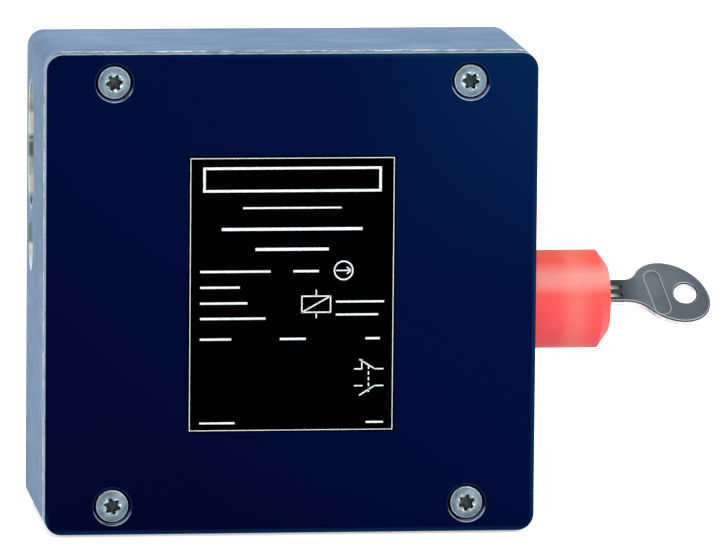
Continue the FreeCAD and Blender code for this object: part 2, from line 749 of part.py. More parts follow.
def make_rotor():
    """Cam rotor: two locking discs that take the tongue's bar, with the door switch's cam between them."""
    gap = value("contact_gap")
    low, high = value(ROTOR_LOW), value(ROTOR_HIGH)
    disc = value("rotor_disc")
    radius = value("rotor_radius")
    hub = drum(value("rotor_hub_radius"), value(ARM_LOW) + gap, value(ARM_HIGH) - gap)
    discs = [drum(radius, low, low + disc), drum(radius, high - disc, high)]
    cam_disc = drum(value("cam_low_radius") - gap, low + disc, high - disc)
    follower = value("plunger_radius")
    start = Vector(value("cam_low_radius") + follower, value("switch_plunger_y") - value("rotor_y"), 0)
    step = Vector(value("switch_travel"), 0, 0)
    ramp = conjugate_cam(start, step, value("rotor_turn"), follower + gap)
    solid = hub.fuse(discs + [cam_disc, raise_face(ramp, low + disc, value("rotor_height") - 2 * disc)])
    half_slot = value("tongue_bar") / 2 + value("tongue_play")
    slot_bottom = value("slot_y") - value("rotor_y") - half_slot
    height = high - low
    slot_box = Part.makeBox(2 * half_slot, radius, height + 2, Vector(-half_slot, slot_bottom, low - 1))
    bore = drum(value("axle_radius") + value("fit_play"), low - height, high + height)
    lock_x = value("solenoid_x") - value("rotor_x")
    lock_y = value("solenoid_y") - value("rotor_y")
    lock_radius = value("bolt_radius") + value("moving_gap") / 2
    lock_hole = drum(lock_radius, low - 1, low + value("lock_depth"), lock_x, lock_y)
    add_shape("cam_rotor", solid.cut([slot_box, bore, lock_hole]).removeSplitter(), "rotor_x", "rotor_y")


def make_latch_cam():
    """Cam under the rotor that the latch ball runs up on as the guard opens."""
    half = value("latch_cam_height") / 2
    middle = value("latch_z")
    start = Vector(value("latch_ball_x") - value("rotor_x"), value("slot_y") - value("rotor_y"), 0)
    roller = value("latch_ball_radius") + value("contact_gap")
    lobe = conjugate_cam(start, Vector(-value("latch_travel"), 0, 0), value("rotor_turn"), roller)
    solid = drum(value("latch_hub_radius"), middle - half, middle + half)
    solid = solid.fuse(raise_face(lobe, middle - half, 2 * half))
    bore = drum(value("axle_radius") + value("fit_play"), middle - half - 1, middle + half + 1)
    add_shape("latch_cam", solid.cut(bore).removeSplitter(), "rotor_x", "rotor_y")


def make_rotor_bearing():
    """Folded bracket, axle and clip."""
    body = new_body("rotor_bracket")
    x_low = "(mount_boss_radius + moving_gap - mount_pitch_x / 2)"
    x_high = "(solenoid_x + bolt_radius + bracket_margin)"
    y_low = "(solenoid_y - bolt_radius - bracket_margin)"
    block(body, (x_low, x_high), (SEAT + " - bracket_sheet", SEAT),
          (ARM_LOW + " - bracket_sheet", ARM_HIGH + " + bracket_sheet"))
    for level in (ARM_LOW + " - bracket_sheet", ARM_HIGH):
        block(body, (x_low, x_high), (y_low, SEAT + " - bracket_sheet / 2"),
              (level, level + " + bracket_sheet"))
    drill(body, "XY_Plane", ARM_HIGH + " + bracket_sheet + 1", "axle_radius + running_play",
          "bracket_inner_height + 2 * bracket_sheet + 2", [("rotor_x", "rotor_y")])
    drill(body, "XY_Plane", ARM_LOW + " + 1", "bolt_radius + running_play", "bracket_sheet + 2",
          [("solenoid_x", "solenoid_y")])
    spots = [("bracket_screw_x", ARM_LOW + " + bracket_screw_inset"),
             ("bracket_screw_x", ARM_HIGH + " - bracket_screw_inset")]
    drill(body, "XZ_Plane", "back_wall + plate_thickness + bracket_sheet",
          "plate_screw_radius + fit_play", "bracket_sheet + 1", spots)
    screw = make_screw("bracket_screw", "plate_screw_radius * 1.6", "plate_head_height",
                       "plate_screw_radius", "bracket_sheet")
    repeated("bracket_screws", screw, [(x, SEAT + " - bracket_sheet", z) for x, z in spots])
    clip_z = "(latch_z - latch_cam_height / 2 - contact_gap - clip_thickness)"
    axle = new_body("rotor_axle", "rotor_x", "rotor_y", clip_z + " - clip_thickness / 2")
    length = f"{ARM_HIGH} + bracket_sheet - 2 * contact_gap - {clip_z} + clip_thickness / 2"
    studs(axle, "XY_Plane", "0", "axle_radius", length, [("0", "0")])
    make_clip("axle_clip", "axle_radius", Z_AXIS, "rotor_x", "rotor_y", clip_z)


def make_clip(label, shaft, axis, x, y, z):
    """A retaining ring on a shaft, lying on the plane across the axis."""
    turn = FreeCAD.Rotation(Z_AXIS, axis)
    body = new_body(label, x, y, z, turn)
    sketch = new_sketch(body, "XY_Plane")
    circle(sketch, shaft + " + clip_width")
    circle(sketch, shaft + " + fit_play")
    extrude(body, "Pad", sketch, "clip_thickness")


def make_spring(label, radius, wire, pitch, length, turn, x, y, z):
    """A coil spring along the body's Z axis."""
    body = new_body(label, x, y, z, turn)
    sketch = new_sketch(body, "XZ_Plane")
    circle(sketch, wire, radius, f"({wire})")
    coil = body.newObject("PartDesign::AdditiveHelix", label + "_coil")
    coil.Profile = sketch
    coil.ReferenceAxis = (sketch, ["V_Axis"])
    coil.Mode = 0
    coil.setExpression("Pitch", sized(pitch))
    coil.setExpression("Height", sized(f"({length}) - 2 * ({wire})"))
    sketch.Visibility = False


def make_latch():
    """Sleeve, adjusting screw, spring and ball that hold the guard lightly shut."""
    sleeve_start = "(latch_recess_depth - case_width / 2)"
    sleeve = new_body("latch_sleeve", sleeve_start, "slot_y", "latch_z")
    bevel = "(latch_sleeve_radius - latch_bore_radius) / 2"
    turned(sleeve, [("0", "latch_bore_radius"), ("latch_sleeve_length", "latch_bore_radius"),
                    ("latch_sleeve_length", f"latch_sleeve_radius - {bevel}"),
                    (f"latch_sleeve_length - {bevel}", "latch_sleeve_radius"), ("0", "latch_sleeve_radius")])
    screw = new_body("latch_adjuster", sleeve_start + " + contact_gap", "slot_y", "latch_z")
    studs(screw, "YZ_Plane", "0", "latch_bore_radius - fit_play", "latch_screw_length", [("0", "0")])
    socket = new_sketch(screw, "YZ_Plane", "0")
    hexagon(socket, "latch_hex_across")
    extrude(screw, "Pocket", socket, "latch_screw_length * 0.6", against=True)
    ball = new_body("latch_ball", "latch_ball_x", "slot_y", "latch_z")
    sketch = new_sketch(ball, "XZ_Plane")
    radius = value("latch_ball_radius")
    ring = Part.Circle(Vector(), Vector(0, 0, 1), radius)
    sketch.addGeometry(Part.ArcOfCircle(ring, 0, math.pi))
    sketch.addGeometry(Part.LineSegment(Vector(-radius, 0, 0), Vector(radius, 0, 0)))
    sketch.addConstraint(Sketcher.Constraint("Coincident", 0, 2, 1, 1))
    sketch.addConstraint(Sketcher.Constraint("Coincident", 0, 1, 1, 2))
    sketch.addConstraint(Sketcher.Constraint("Coincident", 0, 3, -1, 1))
    sketch.addConstraint(Sketcher.Constraint("Horizontal", 1))
    row = sketch.addConstraint(Sketcher.Constraint("Radius", 0, radius))
    sketch.setExpression(f"Constraints[{row}]", sized("latch_ball_radius"))
    feature = ball.newObject("PartDesign::Revolution", "latch_ball_turn")
    feature.Profile = sketch
    feature.ReferenceAxis = (sketch, ["H_Axis"])
    feature.Angle = 360.0
    spring_start = sleeve_start + " + 2 * contact_gap + latch_screw_length"
    make_spring("latch_spring", "latch_bore_radius - 2 * latch_wire_radius - fit_play", "latch_wire_radius",
                "latch_spring_pitch", f"latch_ball_x - latch_ball_radius * 0.75 - ({spring_start})",
                FreeCAD.Rotation(Z_AXIS, X_AXIS), spring_start, "slot_y", "latch_z")


def hexagon(sketch, across):
    """A hexagon with two flats parallel to the sketch's y, about its origin."""
    half = f"({across}) / 2"
    tall = f"({across}) / sqrt(3)"
    short = f"({across}) / sqrt(12)"
    outline(sketch, [(half, "-" + short), (half, short), ("0", tall), ("-" + half, short),
                     ("-" + half, "-" + short), ("0", "-" + tall)])


def make_solenoid():
    """Push solenoid: yoke, yoke plate, bobbin, winding, fixed core and armature, on a channel."""
    bottom = "(solenoid_top - yoke_height)"
    y_span = ("solenoid_y - yoke_depth / 2", "solenoid_y + yoke_depth / 2")
    yoke = new_body("solenoid_yoke")
    block(yoke, ("solenoid_x - yoke_width / 2", "solenoid_x + yoke_width / 2"), y_span,
          (bottom, "solenoid_top - yoke_sheet"))
    block(yoke, ("solenoid_x - yoke_width / 2 + yoke_sheet", "solenoid_x + yoke_width / 2 - yoke_sheet"),
          ("solenoid_y - yoke_depth", "solenoid_y + yoke_depth"), (bottom + " + yoke_sheet", "solenoid_top"),
          cut=True)
    drill(yoke, "XY_Plane", bottom + " - 1", "bobbin_bore_radius", "yoke_sheet + 2",
          [("solenoid_x", "solenoid_y")], True)
    plate = new_body("yoke_plate")
    block(plate, ("solenoid_x - yoke_width / 2", "solenoid_x + yoke_width / 2"), y_span,
          ("solenoid_top - yoke_sheet", "solenoid_top"))
    drill(plate, "XY_Plane", "solenoid_top + 1", "bobbin_bore_radius", "yoke_sheet + 2",
          [("solenoid_x", "solenoid_y")])
    coil_height = "(yoke_height - 2 * yoke_sheet)"
    upright = FreeCAD.Rotation(Y_AXIS, -90)
    base = bottom + " + yoke_sheet"
    tube = "bobbin_bore_radius + bobbin_wall"
    bobbin = new_body("solenoid_bobbin", "solenoid_x", "solenoid_y", base, upright)
    flange = "winding_radius + 0.6"
    turned(bobbin, [("0", "bobbin_bore_radius"), (coil_height, "bobbin_bore_radius"), (coil_height, flange),
                    (coil_height + " - bobbin_flange", flange), (coil_height + " - bobbin_flange", tube),
                    ("bobbin_flange", tube), ("bobbin_flange", flange), ("0", flange)])
    winding = new_body("coil_winding", "solenoid_x", "solenoid_y", base, upright)
    inner = tube + " + fit_play"
    first, last = "bobbin_flange + fit_play", coil_height + " - bobbin_flange - fit_play"
    turned(winding, [(first, inner), (last, inner), (last, "winding_radius"), (first, "winding_radius")])
    core = new_body("fixed_core", "solenoid_x", "solenoid_y", "solenoid_top", upright)
    bore, rim = "bolt_radius + moving_gap", "bobbin_bore_radius - fit_play"
    turned(core, [("-core_length", bore), ("0", bore), ("0", rim), ("-core_length", rim)])
    armature = new_body("armature", "solenoid_x", "solenoid_y",
                        "solenoid_top - core_length - bolt_travel - 1 - armature_length")
    studs(armature, "XY_Plane", "0", "bobbin_bore_radius - running_play", "armature_length", [("0", "0")])
    channel = new_body("solenoid_channel")
    sketch = new_sketch(channel, "XY_Plane", bottom + " + yoke_height / 5")
    rectangle(sketch, "solenoid_x - yoke_width / 2", "solenoid_x + yoke_width / 2", y_span[1], SEAT)
    inner_half = "(yoke_width / 2 - yoke_sheet)"
    rectangle(sketch, "solenoid_x - " + inner_half, "solenoid_x + " + inner_half,
              y_span[1] + " + yoke_sheet", SEAT + " - yoke_sheet")
    extrude(channel, "Pad", sketch, "yoke_height * 3 / 5")


def make_bolt():
    """Lock bolt with its shoulder, return spring and the arm that works the lock switch."""
    low = "(solenoid_top - core_length - bolt_travel - 1)"
    bolt = new_body("lock_bolt", "solenoid_x", "solenoid_y", low, FreeCAD.Rotation(Y_AXIS, -90))
    shoulder = f"({SHOULDER_LOW} - {low})"
    seat = shoulder + " + bolt_shoulder"
    tip = f"({BOLT_TOP} - {low})"
    turned(bolt, [("0", "0"), ("0", "bolt_radius"), (shoulder, "bolt_radius"),
                  (shoulder, "bolt_shoulder_radius"), (seat, "bolt_shoulder_radius"), (seat, "bolt_radius"),
                  (tip + " - bolt_bevel", "bolt_radius"), (tip, "bolt_radius - bolt_bevel"), (tip, "0")])
    arm = new_body("switch_arm", "solenoid_x", "solenoid_y", ARM_SEAT)
    studs(arm, "XY_Plane", "0", "collar_radius", "arm_sheet", [("0", "0")])
    strip_y = "(switch_plunger_y - solenoid_y)"
    block(arm, ("collar_radius / 2", "lock_switch_x - solenoid_x + plunger_radius + 1"),
          (strip_y + " - arm_width / 2", strip_y + " + arm_width / 2"), ("0", "arm_sheet"))
    drill(arm, "XY_Plane", "arm_sheet + 1", "bolt_radius + fit_play", "arm_sheet + 2", [("0", "0")])
    make_spring("bolt_spring", "bolt_spring_radius", "bolt_wire_radius", "bolt_spring_pitch",
                f"{ARM_LOW} - bracket_sheet - contact_gap - ({ARM_TOP} + contact_gap)", None,
                "solenoid_x", "solenoid_y", ARM_TOP + " + contact_gap")


def make_switch(name, turn, x, z, out_x, travel, pushed, tip):
    """One snap-in switch. Its own X runs along the plunger into the housing and its Z along the bridges.
    out_x is where the carrier starts when the plunger is out, pushed is how far in it rests."""
    origin = (x, "switch_plunger_y", z)
    seat = f"({SEAT} - switch_plunger_y)"
    across = "switch_half_width"
    front = "-switch_front"
    nc_bridge = f"({out_x} + ({pushed}) + carrier_length * 0.3)"
    no_bridge = f"({out_x} + ({pushed}) + carrier_length * 0.7)"
    reach = "contact_sheet / 2 + rivet_height + contact_gap"
    nc_contact = f"({out_x} + carrier_length * 0.3 - ({reach}) - contact_sheet)"
    no_contact = f"({out_x} + ({travel}) + carrier_length * 0.7 + {reach})"
    levels = {"nc": "bridge_level", "no": "(-bridge_level)"}
    tab_start = {"nc": f"({nc_contact} + contact_sheet - terminal_length)", "no": no_contact}
    housing = new_body(name + "_housing", *origin, turn)
    block(housing, ("0", "switch_length"), (front, seat), ("-" + across, across))
    round_edges(housing, "switch_wall / 2", lambda edge: runs_along(edge, Y_AXIS))
    for kind in ("nc", "no"):
        inner, outer = f"({across} - 1)", "switch_half_terminals"
        for span in (("-" + outer, "-" + inner), (inner, outer)):
            block(housing, (tab_start[kind], tab_start[kind] + " + terminal_length"),
                  (f"{levels[kind]} - contact_width / 2 + fit_play", seat), span)
    block(housing, ("switch_wall", "switch_length - switch_wall"),
          (front + " - 1", f"({seat} - switch_wall)"),
          (f"-({across} - switch_wall)", f"({across} - switch_wall)"), cut=True)
    for kind, start in (("nc", nc_contact), ("no", no_contact)):
        block(housing, (f"{start} - fit_play", f"{start} + contact_sheet + fit_play"),
              (front + " - 1", f"{levels[kind]} + contact_width / 2 + fit_play"),
              (f"-({across} + contact_sheet + fit_play)", f"{across} + contact_sheet + fit_play"), cut=True)
    drill(housing, "YZ_Plane", "-1", "plunger_radius + running_play", "switch_wall + 2", [("0", "0")], True)
    for kind in ("nc", "no"):
        middle = tab_start[kind] + " + terminal_length / 2"
        spots = [(middle, f"{sign}(switch_half_terminals + {across}) / 2") for sign in ("-", "")]
        drill(housing, "XZ_Plane", f"contact_width / 2 - {levels[kind]}",
              "terminal_shank_radius + fit_play", "terminal_shank_length", spots)
    lid = new_body(name + "_lid", *origin, turn)
    block(lid, ("0", "switch_length"), (front + " - switch_lid", front), ("-" + across, across))
    carrier = f"({out_x} + ({pushed}))"
    plunger = new_body(name + "_plunger", *origin, turn)
    nose = f"({tip})"
    half_root = "plunger_radius * sqrt(0.75)"
    turned(plunger, [(nose, "0"), (f"{nose} + plunger_radius - {half_root}", "plunger_radius / 2"),
                     (nose + " + plunger_radius / 2", half_root),
                     (nose + " + plunger_radius", "plunger_radius"), (carrier, "plunger_radius"),
                     (carrier, "0")])
    half_carrier = "(bridge_level + contact_width / 2 + 1)"
    block(plunger, (carrier, carrier + " + carrier_length"), ("-" + half_carrier, half_carrier),
          ("-carrier_half_width", "carrier_half_width"))
    stem = ("-carrier_stem_half", "carrier_stem_half")
    block(plunger, (carrier + " + carrier_length / 2", carrier + " + carrier_length + carrier_stem_length"),
          stem, stem)
    for level, start in ((levels["nc"], nc_bridge), (levels["no"], no_bridge)):
        half_sheet = "(contact_sheet / 2 + fit_play)"
        half_slot = "(bridge_half_width + fit_play)"
        block(plunger, (f"{start} - {half_sheet}", f"{start} + {half_sheet}"),
              (f"{level} - {half_slot}", f"{level} + {half_slot}"),
              ("-carrier_half_width - 1", "carrier_half_width + 1"), cut=True)
    for kind, start, face in (("nc", nc_bridge, "-"), ("no", no_bridge, "+")):
        bridge = new_body(f"{name}_{'opening' if kind == 'nc' else 'closing'}_bridge", *origin, turn)
        block(bridge, (f"{start} - contact_sheet / 2", f"{start} + contact_sheet / 2"),
              (f"{levels[kind]} - bridge_half_width", f"{levels[kind]} + bridge_half_width"),
              ("-contact_reach - bridge_overhang", "contact_reach + bridge_overhang"))
        level = f"{start} {face} contact_sheet / 2"
        rivets = [(levels[kind], f"{sign}(contact_reach + rivet_inset)") for sign in ("-", "")]
        studs(bridge, "YZ_Plane", level, "rivet_radius", "rivet_height", rivets, against=face == "-")
    make_fixed_contacts(name, origin, turn, nc_contact, no_contact, levels, tab_start)
    along = FreeCAD.Rotation(Z_AXIS, X_AXIS)
    spring_start = f"({carrier} + carrier_length + contact_gap)"
    make_spring(name + "_spring", "switch_spring_radius", "switch_wire_radius", "switch_spring_pitch",
                f"switch_length - switch_wall - contact_gap - {spring_start}",
                turn.multiply(along) if turn else along, *spring_place(x, z, spring_start, turn))


def spring_place(x, z, reach, turn):
    """Where a spring starts that lies reach along the plunger from the switch's origin."""
    if turn:
        return x, "switch_plunger_y", f"({z}) - {reach}"
    return f"({x}) + {reach}", "switch_plunger_y", z


def make_fixed_contacts(name, origin, turn, nc_contact, no_contact, levels, tab_start):
    """Four angled contact strips as one node, and their four terminal screws as another."""
    strips = []
    screw = make_screw(name + "_terminal_screw", "terminal_head_radius", "terminal_head_height",
                       "terminal_shank_radius", "terminal_shank_length - moving_gap")
    screw_spots = []
    for kind, start in (("nc", nc_contact), ("no", no_contact)):
        face = f"({levels[kind]} - contact_width / 2)"
        for side in (-1, 1):
            strip = new_body(f"{name}_strip", *origin, turn)
            ends = ("contact_reach", "switch_half_width + contact_sheet")
            tab = ("switch_half_width + fit_play", "switch_half_terminals")
            if side < 0:
                ends = ("-" + "(" + ends[1] + ")", "-" + ends[0])
                tab = ("-" + tab[1], "-(" + tab[0] + ")")
            block(strip, (start, start + " + contact_sheet"),
                  (face + " - contact_sheet", f"{levels[kind]} + contact_width / 2"), ends)
            block(strip, (tab_start[kind], tab_start[kind] + " + terminal_length"),
                  (face + " - contact_sheet", face), tab)
            middle = "(switch_half_terminals + switch_half_width) / 2"
            drill(strip, "XZ_Plane", f"contact_sheet + 1 - {face}", "terminal_shank_radius + fit_play",
                  "contact_sheet + 2", [(tab_start[kind] + " + terminal_length / 2",
                                         middle if side > 0 else "-" + middle)])
            parts.remove(strip)
            strips.append(strip)
            screw_spots.append((tab_start[kind] + " + terminal_length / 2", face + " - contact_sheet",
                                middle if side > 0 else "-" + middle))
    group = doc.addObject("Part::Compound", name + "_contacts")
    group.Label = name + "_contacts"
    group.Links = strips
    parts.append(group)
    spots = []
    for along, level, across in screw_spots:
        height = f"switch_plunger_y + {level}"
        if turn:
            spots.append((f"({origin[0]}) + ({across})", height, f"({origin[2]}) - ({along})"))
        else:
            spots.append((f"({origin[0]}) + ({along})", height, f"({origin[2]}) + ({across})"))
    repeated(name + "_terminal_screws", screw, spots)


def make_lock():
    """Key lock: cap, barrel, seal, nut, plug and release cam, on one axis along X."""
    at = (SIDE, "lock_y", "lock_z")
    end = "cap_length"
    seat = "barrel_radius + fit_play"
    collar = "seal_thickness + barrel_collar_height"
    cap = new_body("lock_cap", *at)
    ceiling, ledge = end + " - barrel_front_gap + fit_play", collar + " + fit_play"
    skirt = "barrel_collar_radius + fit_play"
    turned(cap, [("0", "cap_radius"), (end + " - cap_chamfer_length", "cap_radius"),
                 (end, "cap_radius - cap_chamfer_depth"), (end, "cap_front_hole_radius"),
                 (ceiling, "cap_front_hole_radius"), (ceiling, seat), (ledge, seat), (ledge, skirt),
                 ("0", skirt)])
    back = "(seal_thickness - barrel_inside)"
    front = "(cap_length - barrel_front_gap)"
    bore = "plug_radius + running_play"
    head = "plug_head_radius + running_play"
    head_back = front + " - plug_head_height - contact_gap"
    barrel = new_body("lock_barrel", *at)
    turned(barrel, [(back, bore), (head_back, bore), (head_back, head), (front, head),
                    (front, "barrel_radius"), (collar, "barrel_radius"), (collar, "barrel_collar_radius"),
                    ("seal_thickness", "barrel_collar_radius"), ("seal_thickness", "barrel_radius"),
                    (back, "barrel_radius")])
    seal = new_body("lock_seal", *at)
    sketch = new_sketch(seal, "YZ_Plane")
    circle(sketch, "barrel_collar_radius")
    circle(sketch, "barrel_radius + fit_play")
    extrude(seal, "Pad", sketch, "seal_thickness")
    nut = new_body("lock_nut", INNER_SIDE + " - lock_nut_height", "lock_y", "lock_z")
    sketch = new_sketch(nut, "YZ_Plane")
    hexagon(sketch, "lock_nut_across")
    circle(sketch, "barrel_radius + fit_play")
    extrude(nut, "Pad", sketch, "lock_nut_height")
    leaned = FreeCAD.Rotation(X_AXIS, -value("key_tilt"))
    plug = new_body("lock_plug", *at, leaned)
    foot = back + " - contact_gap"
    tail, neck = foot + " - plug_tail_length", front + " - plug_head_height"
    turned(plug, [(tail, "0"), (tail, "plug_tail_radius"), (foot, "plug_tail_radius"), (foot, "plug_radius"),
                  (neck, "plug_radius"), (neck, "plug_head_radius"), (front, "plug_head_radius"),
                  (front, "0")])
    half_slot = "(key_blade_width / 2 + contact_gap)"
    block(plug, (front + " - key_blade_length - contact_gap", front + " + 1"),
          ("-key_thickness / 2 - contact_gap", "key_thickness / 2 + contact_gap"),
          ("key_rise - " + half_slot, "key_rise + " + half_slot), cut=True)
    cam = new_body("release_cam", FLANGE_BACK, "lock_y", "lock_z")
    studs(cam, "YZ_Plane", "0", "release_flange_radius", "release_flange", [("0", "0")])
    eccentric = "peg_throw * sqrt(0.5)"
    studs(cam, "YZ_Plane", "0", "peg_radius", "peg_length", [(eccentric, "-" + eccentric)], against=True)
    drill(cam, "YZ_Plane", "release_flange", "plug_tail_radius + fit_play", "plug_tail_length + fit_play",
          [("0", "0")])


def leaning_sketch(body, level, spot, lean):
    """A sketch turned clockwise by lean degrees in the XZ plane, and where the spot (x, z) lies in it."""
    angle = math.radians(value(lean))
    sketch = new_sketch(body, "XZ_Plane", level)
    turn = FreeCAD.Rotation(Z_AXIS, -value(lean))
    sketch.AttachmentOffset = FreeCAD.Placement(sketch.AttachmentOffset.Base, turn)
    across, along = f"{math.cos(angle):.9f}", f"{math.sin(angle):.9f}"
    x, z = spot
    return sketch, f"({x}) * {across} - ({z}) * {along}", f"({x}) * {along} + ({z}) * {across}"


def oval(sketch, x, y, half_long, half_short):
    """An ellipse with its long axis along the sketch's x."""
    long_reach, short_reach = value(half_long), value(half_short)
    centre = Vector(value(x), value(y), 0)
    ends = (centre + Vector(long_reach, 0, 0), centre + Vector(0, short_reach, 0))
    number = sketch.addGeometry(Part.Ellipse(*ends, centre))
    sketch.exposeInternalGeometry(number)
    sketch.addConstraint(Sketcher.Constraint("Horizontal", number + 1))
    for line, reach in ((number + 1, half_long), (number + 2, half_short)):
        row = sketch.addConstraint(Sketcher.Constraint("Distance", line, 2 * value(reach)))
        sketch.setExpression(f"Constraints[{row}]", sized(f"2 * ({reach})"))
    hold(sketch, "DistanceX", number, 3, x)
    hold(sketch, "DistanceY", number, 3, y)


def make_key():
    """Flat key: oval bow with a hole and a sunk panel, a flared neck and a grooved blade."""
    turn = FreeCAD.Rotation(X_AXIS, -value("key_tilt"))
    body = new_body("key", SIDE + " + cap_length", "lock_y", "lock_z", turn)
    bow, x, z = leaning_sketch(body, "0", ("key_bow_centre", "key_bow_rise"), "key_bow_lean")
    oval(bow, x, z, "key_bow_half_length", "key_bow_half_width")
    extrude(body, "Pad", bow, "key_thickness").Midplane = True
    tip = "(-barrel_front_gap - key_blade_length)"
    shoulder = tip + " + key_blade_width / 2"
    low, high = "(key_rise - key_blade_width / 2)", "(key_rise + key_blade_width / 2)"
    sketch = new_sketch(body, "XZ_Plane")
    outline(sketch, [(tip, "key_rise"), (shoulder, low), ("key_bow_centre", low), ("key_bow_centre", high),
                     (shoulder, high)])
    extrude(body, "Pad", sketch, "key_thickness").Midplane = True
    for radius, border in (("key_neck_radius_upper", value(high)), ("key_neck_radius_lower", value(low))):
        round_edges(body, radius, lambda edge: runs_along(edge, Y_AXIS) and edge.CenterOfMass.x > 0
                    and near(edge.CenterOfMass.z, border))
    face = value("key_thickness") / 2
    round_edges(body, "key_bevel", lambda edge: lies_at_depth(edge, face) or lies_at_depth(edge, -face),
                "Chamfer")
    hole = new_sketch(body, "XZ_Plane", "key_thickness")
    circle(hole, "key_hole_radius", "key_hole_centre", "key_hole_rise")
    extrude(body, "Pocket", hole, "2 * key_thickness")
    girth = 2 * math.pi * value("key_hole_radius")
    round_edges(body, "key_bevel", lambda edge: near(edge.Length, girth), "Chamfer")
    for side in (1, -1):
        level = f"{side} * key_thickness / 2"
        spot = ("key_recess_centre", "key_recess_rise")
        panel, x, z = leaning_sketch(body, level, spot, "-key_recess_lean")
        upright_obround(panel, x, z, "key_recess_length", "key_recess_radius")
        extrude(body, "Pocket", panel, "key_recess_depth", against=side < 0)
        for offset in ("- key_groove_pitch / 2", "+ key_groove_pitch / 2"):
            groove = new_sketch(body, "XZ_Plane", level)
            middle = "key_groove_rise " + offset
            rectangle(groove, shoulder, "key_groove_end", middle + " - key_groove_width / 2",
                      middle + " + key_groove_width / 2")
            extrude(body, "Pocket", groove, "key_groove_depth", against=side < 0)


def make_release_lever():
    """Rocking lever between the key's peg and the bolt's arm, with its post and clip."""
    tab_high = f"({FLANGE_BACK} - lever_tab_gap)"
    tab_low = f"({tab_high} - lever_sheet)"
    reach = "(prong_inner + prong_width)"
    fork_low, fork_high = f"(solenoid_x - {reach})", f"(solenoid_x + {reach})"
    peg_z = "(lock_z - peg_throw * sqrt(0.5))"
    tab_bottom, tab_top = f"({peg_z} - lever_tab_height / 2)", f"({peg_z} + lever_tab_height / 2)"
    body = new_body("release_lever")
    sketch = new_sketch(body, "XZ_Plane", "-lever_y - lever_sheet")
    bend = "(3 * lever_half_height)"
    outline(sketch, [(fork_low, PRONG_LOW), (fork_high + " + lever_sheet", PRONG_LOW),
                     (f"lever_pivot_x - {bend}", "lever_pivot_z - lever_half_height"),
                     (f"lever_pivot_x + {bend}", "lever_pivot_z - lever_half_height"),
                     (tab_low, tab_bottom), (tab_high, tab_bottom), (tab_high, tab_top),
                     (f"lever_pivot_x + {bend}", "lever_pivot_z + lever_half_height"),
                     (f"lever_pivot_x - {bend}", "lever_pivot_z + lever_half_height"),
                     (fork_high + " + lever_sheet", PRONG_LOW + " + 2 * lever_sheet"),
                     (fork_low, PRONG_LOW + " + lever_sheet")])
    extrude(body, "Pad", sketch, "lever_sheet")
    for low in (fork_low, "(solenoid_x + prong_inner)"):
        block(body, (low, low + " + prong_width"), ("lever_y + lever_sheet / 2", "lever_y + prong_length"),
              (PRONG_LOW, PRONG_LOW + " + lever_sheet"))
    peg_y = "(lock_y + peg_throw)"
    block(body, (tab_low, tab_high),
          ("lever_y + lever_sheet / 2", f"{peg_y} + 2 * peg_radius + lever_sheet"), (tab_bottom, tab_top))
    slot = new_sketch(body, "YZ_Plane", tab_low + " - 1")
    obround(slot, "(lock_y + peg_throw * sqrt(0.5) - moving_gap)", f"({peg_y} + moving_gap)", peg_z,
            "peg_radius + lever_slot_play")
    extrude(body, "Pocket", slot, "lever_sheet + 2", against=True)
    drill(body, "XZ_Plane", "-lever_y + 1", "pivot_radius + running_play", "lever_sheet + 2",
          [("lever_pivot_x", "lever_pivot_z")])
    post = new_body("lever_post", "lever_pivot_x", SEAT, "lever_pivot_z", FreeCAD.Rotation(Z_AXIS, -90))
    shoulder = f"({SEAT} - lever_y - lever_sheet - contact_gap)"
    tip = f"({SEAT} - lever_y + 2 * contact_gap + clip_thickness + 0.4)"
    turned(post, [("0", "0"), ("0", "post_radius"), (shoulder, "post_radius"), (shoulder, "pivot_radius"),
                  (tip, "pivot_radius"), (tip, "0")])
    clip_y = "lever_y - contact_gap"
    make_clip("lever_clip", "pivot_radius", -Y_AXIS, "lever_pivot_x", clip_y, "lever_pivot_z")


def make_coil_terminals():
    """Moulded block with two clamp screws for the solenoid's supply."""
    body = new_body("coil_terminal_block")
    half_x, half_z = "coil_block_width / 2", "coil_block_height / 2"
    x_span = (f"coil_block_x - {half_x}", f"coil_block_x + {half_x}")
    z_span = (f"coil_block_z - {half_z}", f"coil_block_z + {half_z}")
    block(body, x_span, (SEAT + " - coil_block_depth", SEAT), z_span)
    for sign in ("-", "+"):
        middle = f"(coil_block_x {sign} coil_terminal_pitch / 2)"
        block(body, (f"{middle} - coil_terminal_pitch * 0.38", f"{middle} + coil_terminal_pitch * 0.38"),
              (SEAT + " - coil_block_depth - 1", SEAT + " - coil_block_depth / 2"),
              (f"coil_block_z - {half_z} - 1", f"coil_block_z + {half_z} + 1"), cut=True)
    spots = [(f"coil_block_x {sign} coil_terminal_pitch / 2", "coil_block_z") for sign in ("-", "+")]
    drill(body, "XZ_Plane", f"coil_block_depth / 2 - {SEAT}", "terminal_shank_radius + fit_play",
          "terminal_shank_length", spots)
    screw = make_screw("coil_terminal_screw", "terminal_head_radius", "terminal_head_height",
                       "terminal_shank_radius", "terminal_shank_length - moving_gap")
    repeated("coil_terminal_screws", screw, [(x, SEAT + " - coil_block_depth / 2", z) for x, z in spots])


def check_and_write():
    """Refuse any failed object or bad solid, then write one STEP file for each sub-part."""
    doc.recompute()
    failed = [thing.Name for thing in doc.Objects if {"Invalid", "Error"} & set(thing.State)]
    for thing in parts:
        shape = thing.Shape
        if shape.isNull() or not shape.isValid() or not shape.Solids:
            failed.append(thing.Label)
    if failed:
        raise SystemExit("failed: " + ", ".join(failed))
    os.makedirs("parts", exist_ok=True)
    for thing in parts:
        thing.Shape.exportStep(os.path.join("parts", thing.Label + ".step"))


